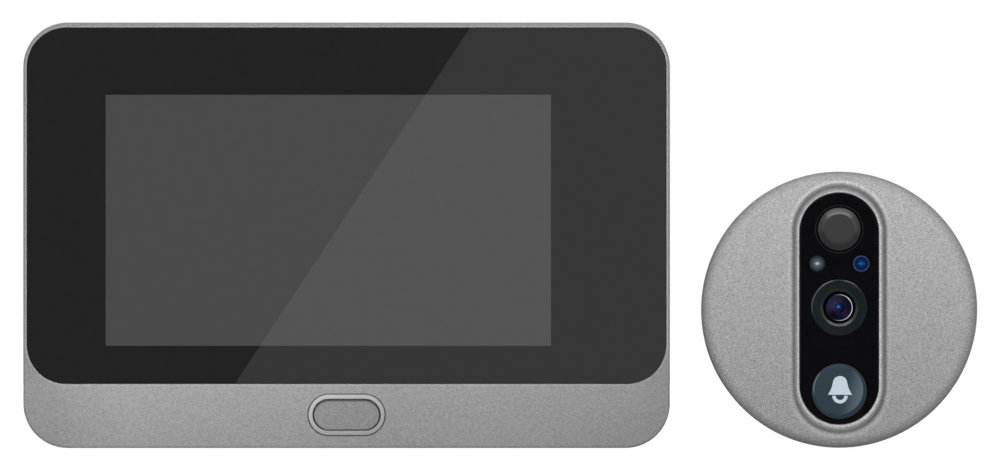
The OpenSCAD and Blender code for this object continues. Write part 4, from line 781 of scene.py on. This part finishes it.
def lensFinish(look):
    # the coatings' colours and painted reflections of the inner glasses in rings about the middle, with a
    # fine wiping haze
    finish, tree, shader = newFinish("coatedGlass", look["sockets"])
    middle, radius = lensEdge(look["crown"])
    place = inMillimetres(tree, tuple(1000.0 * middle), flat=True)
    x, z = acrossAndUp(tree, place)
    away = maths(tree, "DIVIDE", farOut(tree, place), 1000.0 * radius)
    wiped = cloud(tree, place, look["hazeScale"], 3.0)
    haze = rescaled(tree, wiped, 0.3, 0.7, -look["haze"], look["haze"])
    colours = [(at, tint(*colour)) for at, colour in look["bands"]]
    bands = toned(tree, maths(tree, "ADD", away, haze), colours)
    # painted reflection fades in two wedges, painted light leaves the middle darker to one side, and a
    # painted highlight stands near it
    turn = maths(tree, "MULTIPLY", maths(tree, "ARCTAN2", z, x), 180.0 / math.pi)
    lean = towards(tree, x, z, look["leanWay"])
    inner = fading(tree, lean, look["lean"])
    outer = fading(tree, turn, look["gleam"])
    share = rescaled(tree, away, *look["gleamReach"], 0.0, 1.0, True)
    gleam = maths(tree, "ADD", inner, maths(tree, "MULTIPLY", share, maths(tree, "SUBTRACT", outer, inner)))
    lit = addNode(tree, "ShaderNodeVectorMath", operation="SCALE")
    tree.links.new(bands, lit.inputs[0])
    tree.links.new(gleam, lit.inputs["Scale"])
    offX = maths(tree, "SUBTRACT", x, look["sparkPlace"][0])
    offZ = maths(tree, "SUBTRACT", z, look["sparkPlace"][1])
    spark = rescaled(tree, slanted(tree, offX, offZ), 0.0, look["sparkReach"], 1.0, 0.0, True)
    colour = mixedColours(tree, spark, lit.outputs["Vector"], look["spark"])
    tree.links.new(colour, shader.inputs["Base Color"])
    return finish


def makeHoldingRing(look):
    # turned ring over the glass's edge: a low bevelled band, closed underneath
    middle = lensEdge(coatedGlass["crown"])[0]
    profile = np.array(look["profile"]) / 1000.0
    ring = turnedSurface("holdingRing", profile, middle, look["steps"])
    finish, tree, shader = newFinish("holdingRing", look["sockets"])
    place = inMillimetres(tree, tuple(1000.0 * middle))
    side = rescaled(tree, acrossAndUp(tree, place)[0], *look["sideReach"], 0.0, 1.0, True)
    # painted shade on the left and a painted highlight on the right
    paintedSheen = toned(tree, side, [(0.0, look["shadedSide"]), (1.0, look["bright"])])  # bright on the right
    turned = cloud(tree, stretched(tree, place, look["along"]), look["grain"])
    tree.links.new(paintedSheen, shader.inputs["Base Color"])
    tree.links.new(rescaled(tree, turned, 0.3, 0.7, *look["roughness"]), shader.inputs["Roughness"])
    ring.data.materials.append(finish)
    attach(ring, "door_side")


dress(lensFinish(coatedGlass), "front_lens")
makeHoldingRing(holdingRing)
print("camera lens done")


# plastics, rubbers and foams out of the front's sight

graphite = dict(tone=(0.030, 0.030, 0.033), grain=2.4, spread=0.12, rough=(0.5, 0.66), relief=0.35,
                depth=0.00006, sockets={"IOR": 1.5})
blackFilm = dict(tone=(0.010, 0.010, 0.011), grain=2.0, spread=0.05, sockets={"IOR": 1.5})
blackNylon = dict(tone=(0.014, 0.014, 0.015), spread=0.1, rough=(0.45, 0.6), relief=0.15,
                  sockets={"IOR": 1.5})
barrelBlack = dict(tone=(0.0012, 0.0012, 0.0014), spread=0.1,
                   sockets={"Roughness": 0.5, "Specular IOR Level": 0.03})
cream = dict(tone=(0.72, 0.67, 0.55), grain=2.5, spread=0.04, rough=(0.42, 0.55), relief=0.1,
             sockets={"IOR": 1.5})
softRubber = dict(tone=(0.013, 0.013, 0.014), grain=2.0, spread=0.12, relief=0.3, depth=0.00008,
                  sockets={"Roughness": 0.75})
whiteSheet = dict(tone=(0.8, 0.8, 0.79), grain=1.0, spread=0.02, rough=(0.25, 0.35), relief=0.02,
                  sockets={"IOR": 1.5})
amberFilm = dict(tone=(0.55, 0.2, 0.035), grain=1.2, spread=0.06, rough=(0.25, 0.4), relief=0.05,
                 sockets={"IOR": 1.6})
redWire = dict(tone=(0.30, 0.02, 0.015), grain=1.5, spread=0.06, rough=(0.4, 0.55), relief=0.05,
               sockets={"IOR": 1.45})
displayFace = dict(tone=(0.07, 0.07, 0.074), grain=1.0, spread=0.03, relief=0.01,
                   sockets={"Roughness": 0.2, "IOR": 1.5})
foam = dict(tone=(0.020, 0.020, 0.021), cells=2.2, sockets={"Roughness": 0.9})

dress(moulded("graphite", graphite), "rear_cover", "rear_plate")
dress(moulded("blackFilm", blackFilm), "glass_mask", "glass_tape", "panel_tape")
dress(moulded("blackNylon", blackNylon), "power_switch_lever", "view_switch", "bell_switch", "speaker_cone",
      "board_chips", "lens_holder", "image_sensor")
dress(moulded("barrelBlack", barrelBlack), "lens_barrel")
dress(moulded("cream", cream), "flex_socket", "cable_socket", "battery_plug", "view_switch_stem",
      "bell_switch_stem", "board_lights", "outdoor_socket")
dress(moulded("softRubber", softRubber), "back_pads", "bell_seal")
dress(moulded("whiteSheet", whiteSheet), "lcd_backlight")
dress(moulded("amberFilm", amberFilm), "lcd_flex")
dress(moulded("redWire", redWire), "battery_lead", "speaker_lead")
dress(moulded("displayFace", displayFace), "lcd_panel")


def foamFinish(look):
    # closed cells: painted shade in the pits between round walls
    finish, tree, shader = newFinish("foam", look["sockets"])
    pits = cells(tree, inMillimetres(tree), look["cells"])
    colour = toned(tree, pits, [(0.05, shade(look["tone"], 0.6)), (0.5, shade(look["tone"], 1.4))])
    tree.links.new(colour, shader.inputs["Base Color"])
    roughened(tree, shader, pits, 0.4, 0.00015)
    return finish


dress(foamFinish(foam), "door_gasket", "lcd_gasket")
print("plastics done")


# metals and boards

platedSteel = dict(tone=(0.52, 0.53, 0.54), along=(0.06, 1.0, 1.6), roughness=(0.26, 0.42),
                   sockets={"Metallic": 1.0})
blackSteel = dict(tone=(0.03, 0.03, 0.031), along=(1.0, 1.0, 1.0), roughness=(0.35, 0.5),
                  sockets={"Metallic": 0.8})
turnedBrass = dict(tone=(0.56, 0.40, 0.15), along=(0.3, 2.4, 0.3), roughness=(0.22, 0.36),
                   sockets={"Metallic": 1.0})
foilPouch = dict(tone=(0.48, 0.48, 0.50), along=(0.5, 0.5, 0.5), roughness=(0.3, 0.45),
                 sockets={"Metallic": 0.9})
copperFilm = dict(tone=(0.16, 0.10, 0.035), along=(1.0, 1.0, 1.0), roughness=(0.3, 0.42),
                  sockets={"Metallic": 0.5})
maskGreen = dict(tone=(0.010, 0.085, 0.036), track=(0.02, 0.13, 0.05), lines=0.5, rows=0.4, bend=0.12,
                 sockets={"Roughness": 0.3, "IOR": 1.5})


def metalFinish(name, look):
    # drawn metal: a noise stretched along the way it was worked
    finish, tree, shader = newFinish(name, look["sockets"])
    spot = stretched(tree, inMillimetres(tree), look["along"])
    streaks = cloud(tree, spot, 3.0, 4.0)
    colour = toned(tree, streaks, [(0.25, shade(look["tone"], 0.85)), (0.75, shade(look["tone"], 1.12))])
    tree.links.new(colour, shader.inputs["Base Color"])
    tree.links.new(rescaled(tree, streaks, 0.25, 0.75, *look["roughness"]), shader.inputs["Roughness"])
    roughened(tree, shader, streaks, 0.06, 0.00003)
    return finish


def boardFinish(look):
    # solder mask: raised tracks run both ways under it
    finish, tree, shader = newFinish("maskGreen", look["sockets"])
    spot = inMillimetres(tree, flat=True)
    bend = cloud(tree, spot, look["bend"], 1.0)
    lines = maths(tree, "GREATER_THAN", stripes(tree, spot, look["lines"], "X"),
                  maths(tree, "ADD", bend, 0.25))
    rows = maths(tree, "GREATER_THAN", stripes(tree, spot, look["rows"], "Z"),
                 maths(tree, "ADD", bend, 0.3))
    tracks = maths(tree, "MAXIMUM", lines, rows)
    tree.links.new(mixedColours(tree, tracks, look["tone"], look["track"]), shader.inputs["Base Color"])
    roughened(tree, shader, tracks, 0.15, 0.00004)
    return finish


dress(metalFinish("platedSteel", platedSteel), "lcd_tray", "shield_can", "usb_socket", "power_switch_body",
      "speaker", "microphone", "board_screws", "wall_bracket", "pir_sensor", "outdoor_microphone",
      "plate_screws")
dress(metalFinish("blackSteel", blackSteel), "case_screws")
dress(metalFinish("turnedBrass", turnedBrass), "mount_posts")
dress(metalFinish("foilPouch", foilPouch), "battery")
dress(metalFinish("copperFilm", copperFilm), "aerial")
dress(boardFinish(maskGreen), "main_board", "outdoor_board")
print("metals and boards done")

print("all pieces dressed")
